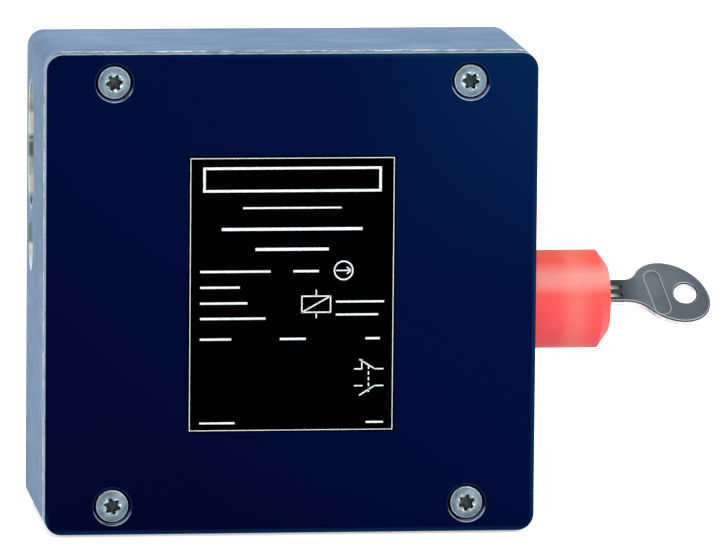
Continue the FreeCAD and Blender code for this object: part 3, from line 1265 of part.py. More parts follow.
make_case()
make_cover()
make_gasket()
make_cover_screws()
make_label()
make_tongue_guides()
make_plate()
make_rotor()
make_latch_cam()
make_rotor_bearing()
make_latch()
make_solenoid()
make_bolt()
make_switch("door_switch", None, "door_switch_x", "slot_z", "carrier_start", "switch_travel", "0",
            "rotor_x + cam_low_radius - door_switch_x")
make_switch("lock_switch", FreeCAD.Rotation(Y_AXIS, 90), "lock_switch_x", f"({ARM_SEAT} - 1)",
            "carrier_start", "bolt_travel", "bolt_travel", "contact_gap - 1")
make_lock()
make_key()
make_release_lever()
make_coil_terminals()
check_and_write()
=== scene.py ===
"""Looks of the tongue interlock switch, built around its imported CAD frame. Metres, in the frame's axes:
X to the key lock, Y to the rear, Z up."""
import bmesh
import bpy
import json
import math
from mathutils import Matrix, Vector


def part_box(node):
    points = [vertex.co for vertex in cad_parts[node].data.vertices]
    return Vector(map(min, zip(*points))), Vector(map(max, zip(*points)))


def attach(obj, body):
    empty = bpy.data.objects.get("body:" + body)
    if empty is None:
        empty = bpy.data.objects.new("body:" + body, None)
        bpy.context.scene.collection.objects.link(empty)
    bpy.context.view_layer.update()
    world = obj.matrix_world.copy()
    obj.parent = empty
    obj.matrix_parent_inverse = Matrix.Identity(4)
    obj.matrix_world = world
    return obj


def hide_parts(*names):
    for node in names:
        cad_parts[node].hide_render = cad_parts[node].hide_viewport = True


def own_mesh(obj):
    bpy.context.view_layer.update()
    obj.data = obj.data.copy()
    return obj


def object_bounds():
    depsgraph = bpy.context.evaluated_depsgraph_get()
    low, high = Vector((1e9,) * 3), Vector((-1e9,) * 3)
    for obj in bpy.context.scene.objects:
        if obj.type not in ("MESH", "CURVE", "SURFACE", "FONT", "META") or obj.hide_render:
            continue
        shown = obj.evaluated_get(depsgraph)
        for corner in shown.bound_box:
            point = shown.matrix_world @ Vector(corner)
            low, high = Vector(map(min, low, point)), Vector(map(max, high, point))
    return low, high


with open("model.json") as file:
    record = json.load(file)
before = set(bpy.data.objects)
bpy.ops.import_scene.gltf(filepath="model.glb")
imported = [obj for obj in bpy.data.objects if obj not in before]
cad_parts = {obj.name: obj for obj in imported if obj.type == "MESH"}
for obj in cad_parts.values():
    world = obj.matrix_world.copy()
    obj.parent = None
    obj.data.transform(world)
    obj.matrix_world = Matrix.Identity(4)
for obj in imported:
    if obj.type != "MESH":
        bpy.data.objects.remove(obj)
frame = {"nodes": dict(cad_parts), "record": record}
NODES = frame["nodes"]
CAD_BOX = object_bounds()
MM = 0.001
TOUCH = 0.001 * MM  # points closer than this are one
bpy.context.scene.view_settings.view_transform = "Standard"


def box(node):
    """A CAD node's corners in metres."""
    low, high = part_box(node)
    return Vector(low), Vector(high)


# cover screws, sunk in their counterbores
HEAD_RADIUS = 3.3 * MM
COUNTERBORE_RADIUS = 3.95 * MM
SCREW_X = box("cover_screws")[1].x - HEAD_RADIUS
SCREW_Z = box("cover_screws")[1].z - HEAD_RADIUS

# key, tilted about the lock's axis, with a sunk round-ended panel in each face of its bow
KEY_TILT = math.radians(42)
KEY_HALF = 1.0 * MM
CAP_HALF = (box("lock_cap")[1].x - box("lock_cap")[0].x) / 2
PANEL_PLACE = (CAP_HALF + 10.8 * MM, 0, 0.7 * MM)  # its middle, from the cap's middle
PANEL_LEAN = math.radians(-13)
PANEL_RADIUS = 1.6 * MM
PANEL_HALF = 3.9 * MM  # from its middle to the centre of a round end


# ---- materials ----

SOFT_EDGE = 0.1 * MM  # over which one finish passes into the next


def colour(text):
    """A linear colour with alpha from an sRGB hex text."""
    channels = []
    for start in (1, 3, 5):
        level = int(text[start:start + 2], 16) / 255
        channels.append(level / 12.92 if level <= 0.04045 else ((level + 0.055) / 1.055) ** 2.4)
    return (*channels, 1.0)


def add_node(tree, kind, inputs=(), out=0, **settings):
    """A node with its settings. Inputs go by name or number, and are values or other nodes' outputs."""
    made = tree.nodes.new("ShaderNode" + kind)
    for name, setting in settings.items():
        setattr(made, name, setting)
    for key, given in dict(inputs).items():
        if isinstance(given, bpy.types.NodeSocket):
            tree.links.new(given, made.inputs[key])
        else:
            made.inputs[key].default_value = given
    return made.outputs[out]


class Paint:
    """One material whose patterns lie on Object coordinates."""

    def __init__(self, name, **inputs):
        self.material = bpy.data.materials.new(name)
        self.material.use_nodes = True
        self.tree = self.material.node_tree
        self.surface = self.tree.nodes["Principled BSDF"]
        self.place = self.add("TexCoord", out="Object")
        self.tone = None  # the finish's own colour, for the coats that lie over it
        self.set(**inputs)

    def add(self, kind, inputs=(), out=0, **settings):
        """Add a node to this material."""
        return add_node(self.tree, kind, inputs, out, **settings)

    def set(self, **inputs):
        """Give the surface shader's own inputs a value each, or another node's output."""
        for name, given in inputs.items():
            socket = self.surface.inputs[name.replace("_", " ")]
            if isinstance(given, bpy.types.NodeSocket):
                self.tree.links.new(given, socket)
            else:
                socket.default_value = given


def patches(paint, size, start=0.3, end=0.7, low=0.0, high=1.0, detail=3.0, rough=0.55, stretch=(1, 1, 1)):
    """A soft random pattern with features about size metres across.
    It is low where the noise is below start and high where it is above end."""
    where = paint.add("Mapping", {"Vector": paint.place, "Scale": stretch})
    cloud = paint.add("TexNoise", {"Vector": where, "Scale": 1 / size, "Detail": detail, "Roughness": rough})
    return paint.add("MapRange", {0: cloud, 1: start, 2: end, 3: low, 4: high})


def along(paint, letter, start, end, low=0.0, high=1.0):
    """A value that goes from low to high as one coordinate goes from start to end."""
    level = paint.add("SeparateXYZ", {0: paint.place}, out=letter)
    return paint.add("MapRange", {0: level, 1: start, 2: end, 3: low, 4: high})


def all_of(paint, *masks):
    """Where every mask is one."""
    whole = masks[0]
    for mask in masks[1:]:
        whole = paint.add("Math", {0: whole, 1: mask}, operation="MULTIPLY")
    return whole


def any_of(paint, *masks):
    """Where at least one mask is one."""
    whole = masks[0]
    for mask in masks[1:]:
        whole = paint.add("Math", {0: whole, 1: mask}, operation="MAXIMUM")
    return whole


def layered(paint, base, *coats):
    """A base colour with coats over it, each a mask and the colour to show where the mask is one."""
    tone = colour(base) if isinstance(base, str) else base
    for mask, coat in coats:
        coat = colour(coat) if isinstance(coat, str) else coat
        tone = paint.add("Mix", {0: mask, 6: tone, 7: coat}, out=2, data_type="RGBA")
    return tone


def relief(paint, *layers):
    """A normal from layers of fine unevenness, each of a feature size and a depth in metres."""
    normal = {}
    for size, depth in layers:
        height = patches(paint, size, 0.0, 1.0, detail=2.0)
        uneven = paint.add("Bump", {"Height": height, "Strength": 1.0, "Distance": depth, **normal})
        normal = {"Normal": uneven}
    return normal["Normal"]


def from_screw(paint):
    """How far a point is, seen from the front, from the middle of the nearest cover screw."""
    folded = paint.add("VectorMath", {0: paint.place}, operation="ABSOLUTE")
    flat = paint.add("VectorMath", {0: folded, 1: (1.0, 0.0, 1.0)}, operation="MULTIPLY")
    return paint.add("VectorMath", {0: flat, 1: (SCREW_X, 0, SCREW_Z)}, out="Value", operation="DISTANCE")


def above_screws(paint):
    """How far a point lies above the middle of the cover screws in its own half of the cover."""
    folded = paint.add("VectorMath", {0: paint.place}, operation="ABSOLUTE")
    level = paint.add("SeparateXYZ", {0: folded}, out="Z")
    beyond = paint.add("Math", {0: level, 1: SCREW_Z}, operation="SUBTRACT")
    side = along(paint, "Z", -MM, MM, -1.0, 1.0)
    return paint.add("Math", {0: beyond, 1: side}, operation="MULTIPLY")


def inset(paint, node):
    """How far a point lies inside the outline of a node that is centred on the frame, seen from the front."""
    folded = paint.add("VectorMath", {0: paint.place}, operation="ABSOLUTE")
    gap = paint.add("VectorMath", {0: box(node)[1], 1: folded}, operation="SUBTRACT")
    sides = [paint.add("SeparateXYZ", {0: gap}, out=letter) for letter in "XZ"]
    return paint.add("Math", {0: sides[0], 1: sides[1]}, operation="MINIMUM")


def around(paint, node, slack):
    """One beside a node's box, as far as slack past it along Y and Z."""
    low, high = box(node)
    masks = []
    for letter, start, end in (("Y", low.y - slack, high.y + slack), ("Z", low.z - slack, high.z + slack)):
        masks.append(along(paint, letter, start - SOFT_EDGE, start))
        masks.append(along(paint, letter, end + SOFT_EDGE, end))
    return all_of(paint, *masks)


def ring_of(paint, reach, inner, outer, soft=SOFT_EDGE):
    """One between two distances, with soft borders."""
    rise = paint.add("MapRange", {0: reach, 1: inner - soft, 2: inner})
    fall = paint.add("MapRange", {0: reach, 1: outer + soft, 2: outer})
    return all_of(paint, rise, fall)


def case_enamel():
    """Steel-blue stoving enamel on a zinc casting: cloudy, with a fine orange peel.
    It is rubbed through along the rim. The slot and the latch's bore are cut after painting, so they are
    bare, and the bore's upper half, whose wall faces down, is painted darker green-grey as shade."""
    paint = Paint("stoving_enamel_steel_blue", Specular_IOR_Level=0.015)
    low = box("case")[0]
    clouds = patches(paint, 20 * MM, detail=4)
    streaks = patches(paint, 6 * MM, 0.5, 0.7, high=0.45, detail=5, rough=0.7, stretch=(0.35, 1, 1.6))
    scuffs = patches(paint, 1.6 * MM, 0.6, 0.75, high=0.35, detail=4, rough=0.7, stretch=(0.5, 1, 1))
    rim = all_of(paint, along(paint, "Y", low.y + 0.45 * MM, low.y + 0.15 * MM),
                 patches(paint, 3 * MM, 0.42, 0.6, detail=4, rough=0.7))
    # the left wall behind its painted outer face
    wall = all_of(paint, along(paint, "X", low.x + 0.03 * MM, low.x + 0.08 * MM),
                  along(paint, "X", low.x + 5.5 * MM, low.x + 5 * MM))
    holes = any_of(paint, around(paint, "latch_sleeve", 1.4 * MM),
                   around(paint, "tongue_guide_lower", 0.5 * MM),
                   around(paint, "tongue_guide_upper", 0.5 * MM))
    cut = all_of(paint, wall, holes)
    # painted shade: the bore's upper half, whose wall faces down, darker green-grey
    sleeve_low, sleeve_high = box("latch_sleeve")
    shade_level = sleeve_low.z + 0.45 * (sleeve_high.z - sleeve_low.z)
    upper_shade = all_of(paint, along(paint, "Z", shade_level, shade_level + 0.8 * MM),
                     along(paint, "Z", shade_level + 7 * MM, shade_level + 6 * MM))
    dull = patches(paint, 3 * MM, 0.5, 0.65, high=0.5)
    machined = layered(paint, "#F6FAF8", (dull, "#9DB8AA"), (upper_shade, "#7D9E8C"))
    paint.set(Base_Color=layered(paint, "#617C9B", (clouds, "#738EAE"), (streaks, "#8BA5C0"),
                                 (scuffs, "#A9BCCB"), (cut, machined), (rim, "#DDE4E6")),
              Metallic=all_of(paint, any_of(paint, rim, cut), 0.6),
              Roughness=patches(paint, 4 * MM, low=0.42, high=0.55),
              Normal=relief(paint, (1.1 * MM, 0.01 * MM), (6.5 * MM, 0.04 * MM)))
    return paint.material


def cover_enamel():
    """Navy stoving enamel on the flat lid, with a painted sheen that lightens it towards the upper right and
    along its right-hand and lower edges, and bright wear under a painted highlight on the lower side of each
    counterbore's rim, where the wall faces up. The lid's narrow sides are thinly covered grey-green and
    painted lighter on the left, with a painted highlight along the front edge at the top and left, and a
    back edge rubbed bright under a painted highlight."""
    paint = Paint("stoving_enamel_navy", Specular_IOR_Level=0.01)
    low, high = box("cover")
    edge = inset(paint, "cover")
    reach = from_screw(paint)

    # front face, with a painted sheen that lightens it towards the upper right
    diagonal = paint.add("VectorMath", {0: paint.place, 1: (1.0, 0.0, 1.0)}, out="Value",
                         operation="DOT_PRODUCT")
    diagonal_sheen = all_of(paint, paint.add("MapRange", {0: diagonal, 1: -60 * MM, 2: 100 * MM}),
                  patches(paint, 60 * MM, 0.2, 0.8, low=0.75))
    # painted sheen, lighter in the upper right quarter
    corner = all_of(paint, along(paint, "X", 0.2 * high.x, high.x), along(paint, "Z", 0.0, high.z), 0.7)
    # painted sheen along the lid's edges, on its right-hand part and along the bottom
    edge_sheen = all_of(paint, paint.add("MapRange", {0: edge, 1: 1.1 * MM, 2: 0.4 * MM}),
                    any_of(paint, along(paint, "X", low.x + 20 * MM, low.x + 70 * MM),
                           along(paint, "Z", low.z + 5 * MM, low.z + 3 * MM)))
    rim = ring_of(paint, reach, COUNTERBORE_RADIUS, COUNTERBORE_RADIUS + 0.06 * MM)
    # the lower side of each counterbore's rim, where the wall faces up: bright wear with a painted highlight
    rubbed = all_of(paint, rim, paint.add("MapRange", {0: above_screws(paint), 1: -0.8 * MM, 2: -1.8 * MM}),
                    patches(paint, 3 * MM, 0.38, 0.55, low=0.25))

    # sides, kept clear of the counterbores
    outer = all_of(paint, paint.add("MapRange", {0: reach, 1: 4.9 * MM, 2: 5.1 * MM}),
                   paint.add("MapRange", {0: edge, 1: 2.4 * MM, 2: 2.2 * MM}))
    # the sides grey-green, with the left side painted lighter and bluer than the top as painted light
    side = layered(paint, "#4B6163",
                   (patches(paint, 2.2 * MM, 0.4, 0.6, high=0.8, detail=5, rough=0.7), "#8090A4"),
                   (along(paint, "X", low.x + 2.4 * MM, low.x + MM), "#8398B4"))
    turned = all_of(paint, outer, along(paint, "Y", low.y + 0.35 * MM, low.y + 0.5 * MM))
    # painted highlight along the front edge, on the top and left sides where the light falls
    lit = any_of(paint, along(paint, "Z", high.z - 3.0 * MM, high.z - 2.0 * MM),
                 along(paint, "X", low.x + 1.6 * MM, low.x + 0.9 * MM))
    front = all_of(paint, lit, outer, along(paint, "Y", low.y + 0.14 * MM, low.y + 0.28 * MM),
                   along(paint, "Y", low.y + 0.7 * MM, low.y + 0.5 * MM),
                   patches(paint, 1.6 * MM, 0.3, 0.48, low=0.35, detail=5, rough=0.7))
    # the back edge rubbed bright, with a painted highlight
    back = all_of(paint, outer, along(paint, "Y", high.y - 1.5 * MM, high.y - 1.1 * MM),
                  patches(paint, 2.4 * MM, 0.46, 0.56, detail=6, rough=0.8),
                  patches(paint, 20 * MM, 0.4, 0.5, low=0.5))

    paint.set(Base_Color=layered(paint, "#00042A", (diagonal_sheen, "#00103E"), (corner, "#00244E"),
                                 (edge_sheen, "#04264C"), (turned, side), (all_of(paint, rim, 0.5), "#24477A"),
                                 (rubbed, "#B4C4DE"), (front, "#A9BED2"), (back, "#F8F8EE")),
              Metallic=all_of(paint, any_of(paint, front, back, rubbed), 0.35),
              Roughness=patches(paint, 4 * MM, low=0.38, high=0.48),
              Normal=relief(paint, (1.1 * MM, 0.008 * MM), (6.5 * MM, 0.02 * MM)))
    return paint.material


def metal(name, base, dark, rough, size=3 * MM, metallic=1.0):
    """Bare or plated metal: stained in soft patches, finely pitted and lightly scratched."""
    paint = Paint(name, Metallic=metallic)
    paint.tone = layered(paint, dark, (patches(paint, size, 0.35, 0.65, detail=4), base))
    scratches = patches(paint, 0.6 * MM, stretch=(1, 6, 9))
    worn = any_of(paint, scratches, patches(paint, size))
    paint.set(Base_Color=paint.tone, Normal=relief(paint, (0.4 * MM, 0.004 * MM)),
              Roughness=paint.add("MapRange", {0: worn, 3: rough - 0.06, 4: rough + 0.1}))
    return paint


def moulded(name, base, dark, rough, milky=0.0):
    """Moulded plastic or rubber: a fine grain and slow changes of tone, and light inside it where milky."""
    paint = Paint(name, Subsurface_Weight=milky, Subsurface_Scale=4 * MM)
    paint.set(Base_Color=layered(paint, dark, (patches(paint, 12 * MM), base)),
              Roughness=patches(paint, 2 * MM, low=rough - 0.05, high=rough + 0.06),
              Normal=relief(paint, (0.7 * MM, 0.006 * MM)))
    return paint


def screw_zinc():
    """Blue-passivated zinc plate on the cover screws: painted shade in the driver's recess, chipped bright
    round it and along the head's edge."""
    paint = metal("blue_zinc_plate", "#7D939F", "#5F7480", 0.38, 1.5 * MM, metallic=0.6)
    low = box("cover_screws")[0]
    reach = from_screw(paint)
    chips = all_of(paint, ring_of(paint, reach, 1.45 * MM, 1.75 * MM, 0.25 * MM),
                   patches(paint, 0.6 * MM, 0.5, 0.6))
    edge = all_of(paint, ring_of(paint, reach, HEAD_RADIUS - 0.16 * MM, HEAD_RADIUS + MM, 0.06 * MM),
                  patches(paint, 2 * MM, 0.35, 0.6, 0.3, 0.85))
    # painted shade in the driver's recess
    sunk = all_of(paint, along(paint, "Y", low.y + 0.12 * MM, low.y + 0.6 * MM),
                  paint.add("MapRange", {0: reach, 1: 2.0 * MM, 2: 1.85 * MM}))
    recess_shade = layered(paint, "#0A1412", (patches(paint, 0.8 * MM, 0.4, 0.6), "#2C3B37"))
    paint.set(Base_Color=layered(paint, paint.tone, (chips, "#E6EDF2"), (edge, "#DCE4EA"), (sunk, recess_shade)))
    return paint.material


def cap_plastic():
    """Coral-red moulded polyamide with a satin face: pinker below, a paler moulding band round its middle
    and a painted highlight along its upper side."""
    paint = Paint("polyamide_coral_red", Specular_IOR_Level=0.15, Roughness=0.5, Subsurface_Weight=0.08,
                  Subsurface_Scale=2 * MM)
    low, high = box("lock_cap")
    length = high.x - low.x
    rise = along(paint, "Z", low.z, high.z)
    band = all_of(paint, along(paint, "X", low.x + 0.38 * length, low.x + 0.52 * length),
                  along(paint, "X", low.x + 0.78 * length, low.x + 0.62 * length), 0.5)
    # painted highlight along the upper side
    sheen = all_of(paint, paint.add("MapRange", {0: rise, 1: 0.6, 2: 0.73}),
                   paint.add("MapRange", {0: rise, 1: 0.92, 2: 0.8}), 0.75)
    paint.set(Base_Color=layered(paint, "#F8555F", (rise, "#F45846"), (band, "#F68578"), (sheen, "#F5A39D"),
                                 (patches(paint, 7 * MM, high=0.15), "#EC463C")),
              Normal=relief(paint, (MM, 0.004 * MM)))
    return paint.material


def on_key(paint):
    """A point's depth from the tilted key's middle plane, and its distance from the sunk panel's middle
    line, both in metres."""
    low, high = box("lock_cap")
    upright = Vector((0, -math.cos(KEY_TILT), math.sin(KEY_TILT)))
    off = paint.add("VectorMath", {0: paint.place, 1: (low + high) / 2}, operation="SUBTRACT")
    depth = paint.add("VectorMath", {0: off, 1: upright}, out="Value", operation="DOT_PRODUCT")
    depth = paint.add("Math", {0: depth}, operation="ABSOLUTE")
    turned = paint.add("VectorRotate", {"Vector": off, "Angle": KEY_TILT}, rotation_type="X_AXIS")
    on_panel = paint.add("Mapping", {"Vector": turned, "Location": PANEL_PLACE,
                                     "Rotation": (0, PANEL_LEAN, 0)}, vector_type="TEXTURE")
    past_end = paint.add("Math", {0: paint.add("SeparateXYZ", {0: on_panel}, out="Z")}, operation="ABSOLUTE")
    past_end = paint.add("MapRange", {0: past_end, 1: PANEL_HALF, 2: PANEL_HALF + 5 * MM, 4: 5 * MM})
    beside = paint.add("CombineXYZ", {0: paint.add("SeparateXYZ", {0: on_panel}, out="X"), 1: past_end})
    return depth, paint.add("VectorMath", {0: beside}, out="Value", operation="LENGTH")


def key_nickel():
    """Dark nickel plate on a flat key, with painted shade at the neck beside the cap, towards the tip and on
    the bevel, a painted highlight where the face turns into the bevel and round the sunk panel, and bare cut
    metal with a painted highlight on the sides and groove walls."""
    paint = metal("dark_nickel_plate", "#6B747D", "#565F68", 0.34, 12 * MM, metallic=0.7)
    cap_end = box("lock_cap")[1].x
    depth, beside = on_key(paint)
    # painted shade on the neck, beside the cap
    neck_shade = along(paint, "X", cap_end + 7 * MM, cap_end + 3 * MM)
    # painted shade on the face, darker towards the tip
    tip_shade = along(paint, "X", cap_end + 10 * MM, cap_end + 22 * MM, high=0.85)
    # painted highlight where the face turns into the bevel
    line = ring_of(paint, depth, KEY_HALF - 0.12 * MM, KEY_HALF - 0.03 * MM, 0.01 * MM)
    # painted shade on the bevel
    bevel = all_of(paint, paint.add("MapRange", {0: depth, 1: KEY_HALF - 0.1 * MM, 2: KEY_HALF - 0.14 * MM}),
                   paint.add("MapRange", {0: beside, 1: PANEL_RADIUS - 0.05 * MM, 2: PANEL_RADIUS}))
    # painted highlight round the sunk panel's rim
    brim = ring_of(paint, beside, PANEL_RADIUS - 0.05 * MM, PANEL_RADIUS + 0.18 * MM, 0.05 * MM)
    panel = all_of(paint, brim, 0.75)
    # bare cut metal on the sides and groove walls, with a painted highlight over it
    cut = paint.add("Math", {0: depth, 1: KEY_HALF - 0.37 * MM}, operation="LESS_THAN")
    # all but the outer part of the walls where the grooves end
    off_ends = any_of(paint, along(paint, "X", cap_end + 3.2 * MM, cap_end + 1.0 * MM),
                      along(paint, "X", cap_end + 3.6 * MM, cap_end + 3.8 * MM),
                      paint.add("MapRange", {0: depth, 1: 0.53 * MM, 2: 0.5 * MM}))
    worn = all_of(paint, cut, off_ends, patches(paint, 2 * MM, 0.35, 0.6, low=0.75))
    paint.set(Base_Color=layered(paint, paint.tone, (tip_shade, "#4A535B"), (neck_shade, "#2E393D"), (bevel, "#2A3036"),
                                 (line, "#AEB6BE"), (panel, "#A4ACB4"), (worn, "#F1EEE8")))
    return paint.material


def label_foil():
    """Anodised aluminium foil, matt black, with a faint grain."""
    paint = Paint("anodised_aluminium_black", Specular_IOR_Level=0.0)
    paint.set(Base_Color=layered(paint, "#000000", (patches(paint, 10 * MM), "#020203")),
              Roughness=patches(paint, 0.9 * MM, low=0.42, high=0.52),
              Normal=relief(paint, (0.5 * MM, 0.003 * MM)))
    return paint.material


def label_ink():
    """White screen-printing ink, laid a little unevenly."""
    paint = Paint("screen_ink_white", Roughness=0.5, Specular_IOR_Level=0.2)
    paint.set(Base_Color=layered(paint, "#D3DDDE", (patches(paint, 1.5 * MM, 0.3, 0.6), "#EEF6F6")))
    return paint.material


def guide_steel():
    """Hardened steel of the slot's shells, with straw-coloured patches, painted reflections in two bright
    bands with a dull green one between them, and painted shade at its dark blue ends."""
    paint = metal("hardened_steel", "#D9E4DC", "#93A9A2", 0.32, 6 * MM, metallic=0.15)
    low, high = box("tongue_guide_lower")[0].z, box("tongue_guide_upper")[1].z
    rise = along(paint, "Z", low, high)
    # painted reflections: two bright bands with a dull green band between them
    reflection_bands = any_of(paint, ring_of(paint, rise, 0.56, 0.7, 0.04), ring_of(paint, rise, 0.13, 0.23, 0.03))
    dull = all_of(paint, ring_of(paint, rise, 0.4, 0.52, 0.04), 0.85)
    # painted shade, dark blue at the slot's upper and lower ends
    shaded_ends = any_of(paint, paint.add("MapRange", {0: rise, 1: 0.92, 2: 0.95}),
                  paint.add("MapRange", {0: rise, 1: 0.1, 2: 0.07}))
    straw = patches(paint, 5 * MM, 0.5, 0.6, high=0.7)
    paint.set(Base_Color=layered(paint, paint.tone, (straw, "#C0A49C"), (reflection_bands, "#FDFDF0"),
                                 (dull, "#4C6A5C"), (shaded_ends, "#4A6A94")))
    return paint.material


WAVE_LENGTH = 2 * math.pi / 20  # metres, of a Wave texture at scale 1
WIRE_PITCH = 0.604 * MM


def winding_copper():
    """Enamelled copper wire wound in layers, drawn 0.6 mm thick, coarser than it is, so that it shows."""
    paint = Paint("enamelled_copper_wire", Metallic=0.8, Roughness=0.35)
    turns = paint.add("TexWave", {"Vector": paint.place, "Scale": WAVE_LENGTH / WIRE_PITCH}, out="Fac",
                      bands_direction="Z")
    paint.set(Base_Color=layered(paint, "#5E2A12", (turns, "#B8652E")),
              Normal=paint.add("Bump", {"Height": turns, "Strength": 1.0, "Distance": 0.1 * MM}))
    return paint.material


FINISHES = {
    "case_paint": case_enamel(),
    "cover_paint": cover_enamel(),
    "gasket_rubber": moulded("nitrile_rubber", "#2A2C2B", "#1B1D1C", 0.7).material,
    "zinc_steel": metal("zinc_plated_steel", "#B4C2C8", "#8D9BA4", 0.3).material,
    "bare_steel": metal("ground_steel", "#9A9C9E", "#7B7D80", 0.28).material,
    "spring_steel": metal("spring_steel", "#8A8C90", "#6A6C70", 0.3).material,
    "label_black": label_foil(),
    "guide_steel": guide_steel(),
    "die_cast_zinc": metal("die_cast_zinc", "#B4B7BA", "#92969A", 0.42).material,
    "copper_winding": winding_copper(),
    "bobbin_nylon": moulded("natural_nylon", "#D9D4C2", "#CBC5B0", 0.5, 0.2).material,
    "switch_housing_black": moulded("black_thermoset", "#1D1E20", "#141516", 0.5).material,
    "plunger_red": moulded("red_acetal", "#B5261E", "#9C1D18", 0.4).material,
    "plunger_white": moulded("white_acetal", "#E2E1DC", "#D2D1CB", 0.4).material,
    "contact_brass": metal("yellow_brass", "#C9A55A", "#A5833F", 0.3).material,
    "contact_copper": metal("contact_copper", "#C48058", "#9E6040", 0.32).material,
    "terminal_grey": moulded("grey_polyamide", "#8E9090", "#7E8080", 0.5).material,
    "cap_red": cap_plastic(),
    "key_nickel": key_nickel(),
    "lock_nickel": metal("polished_nickel", "#B9B8B2", "#9A9994", 0.2).material,
}


def finish_nodes():
    """Give every CAD node the finish that its record slot names, and the cover screws their own."""
    finishes = {entry["node"]: FINISHES[entry["material_slot"]] for entry in frame["record"]["subparts"]}
    finishes["cover_screws"] = screw_zinc()
    for node, finish in finishes.items():
        shown = NODES[node]
        if not shown.material_slots:
            shown.data.materials.append(finish)
        for spot in shown.material_slots:
            spot.material = finish


finish_nodes()


# ---- label ----


def add_piece(name, made, material):
    """A mesh object from a bmesh, with its faces outward, riding on the housing."""
    bmesh.ops.recalc_face_normals(made, faces=made.faces)
    mesh = bpy.data.meshes.new(name)
    made.to_mesh(mesh)
    made.free()
    mesh.materials.append(material)
    piece = bpy.data.objects.new(name, mesh)
    bpy.context.collection.objects.link(piece)
    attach(piece, "housing")
    return piece


def stroke(made, start, end, width):
    """A printed bar from start to end, as (x, z) in millimetres from the label's middle."""
    start, end = Vector(start) * MM, Vector(end) * MM
    span = end - start
    middle = (start + end) / 2
    turn = Matrix.Translation((middle.x, 0, middle.y)) @ Matrix.Rotation(-math.atan2(span.y, span.x), 4, "Y")
    flat = turn @ Matrix.Rotation(math.pi / 2, 4, "X") @ Matrix.Diagonal((span.length, width * MM, 1, 1))
    bmesh.ops.create_grid(made, x_segments=1, y_segments=1, size=0.5, matrix=flat)


def hollow(made, faces, width):
    """Turn flat shapes into their own outlines, width millimetres wide."""
    bmesh.ops.inset_region(made, faces=faces, thickness=width * MM, use_boundary=True, use_even_offset=True)
    bmesh.ops.delete(made, geom=faces, context="FACES")


def frame_lines(made, left, low, right, high, width):
    """The printed outline of a rectangle, in millimetres from the label's middle."""
    before = set(made.faces)
    stroke(made, (left, (low + high) / 2), (right, (low + high) / 2), high - low)
    hollow(made, [face for face in made.faces if face not in before], width)


def ring_line(made, x, z, radius, width):
    """A printed circle, in millimetres from the label's middle."""
    before = set(made.faces)
    flat = Matrix.Translation((x * MM, 0, z * MM)) @ Matrix.Rotation(math.pi / 2, 4, "X")
    bmesh.ops.create_circle(made, cap_ends=True, segments=40, radius=radius * MM, matrix=flat)
    hollow(made, [face for face in made.faces if face not in before], width)


# The print, as x and z in millimetres from the label's middle
SIGN_WIDTH = 0.25
BORDER_MARGIN = 0.35
BORDER_WIDTH = 0.14
HEAD_FIELD = (-18.5, 21.3, 18.5, 26.5)
HEAD_FIELD_WIDTH = 0.5
COIL_FRAME = (2.0, -3.9, 8.2, -0.3)
ENTRY_RING = (10.75, 4.9, 2.05)
ENTRY_RING_WIDTH = 0.28
# left, right, level and width of each blank ruled line
RULED_LINES = ((-10.2, 10.2, 18.0, 0.35), (-14.6, 14.6, 13.6, 0.6), (-7.6, 7.6, 9.4, 0.6),
               (-19.0, -4.4, 4.8, 0.45), (-19.0, -10.8, 1.5, 0.45), (-19.0, -9.2, -1.8, 0.45),
               (-19.0, -5.4, -5.0, 0.45), (0.3, 5.6, 4.8, 0.45), (9.2, 19.2, -1.6, 0.4),
               (9.2, 18.0, -4.3, 0.4), (-19.0, -12.5, -9.3, 0.45), (-2.4, 3.0, -9.3, 0.45),
               (15.4, 18.4, -9.3, 0.45), (-19.0, -11.7, -26.8, 0.4), (15.6, 19.2, -26.8, 0.4))
ENTRY_ARROW = (((9.2, 4.9), (12.2, 4.9)), ((11.4, 5.6), (12.3, 4.9)), ((11.4, 4.2), (12.3, 4.9)))
COIL_SIGN = (((2.1, -3.8), (8.1, -0.4)), ((5.1, -0.4), (5.1, 0.9)), ((5.1, -5.0), (5.1, -3.8)))
CONTACT_SIGNS = (((13.1, -15.7), (14.7, -15.7)), ((14.7, -15.8), (14.7, -13.7)),
                 ((14.2, -13.7), (17.4, -15.7)), ((17.3, -15.7), (19.2, -15.7)),
                 ((13.1, -19.2), (14.9, -19.2)), ((14.2, -21.2), (17.4, -19.2)),
                 ((17.3, -19.2), (19.2, -19.2)))
LINK_DASHES = tuple(((16.1, top), (16.1, top - 0.7)) for top in (-15.0, -16.2, -17.4, -18.6, -19.8))

# The plate's face lies behind the solid plate's, to leave room for the ink, which is sunk a little into it
PLATE_BEVEL = 0.12 * MM
INK_ROOM = 0.03 * MM
INK_SINK = 0.015 * MM
INK_THICKNESS = 0.04 * MM


def add_plate():
    """Black label plate with a bevelled front edge, in the place of the solid one."""
    low, high = box("label_plate")
    size = high - low
    depth = size.y - INK_ROOM
    made = bmesh.new()
    spread = Matrix.Translation((0, high.y - depth / 2, 0)) @ Matrix.Diagonal((size.x, depth, size.z, 1))
    bmesh.ops.create_cube(made, size=1.0, matrix=spread)
    face = high.y - depth
    outer = [edge for edge in made.edges if all(abs(end.co.y - face) < TOUCH for end in edge.verts)]
    bmesh.ops.bevel(made, geom=outer, offset=PLATE_BEVEL, segments=1, profile=0.5, affect="EDGES",
                    material=-1)
    plate = add_piece("label_plate_bevelled", made, FINISHES["label_black"])
    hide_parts("label_plate")


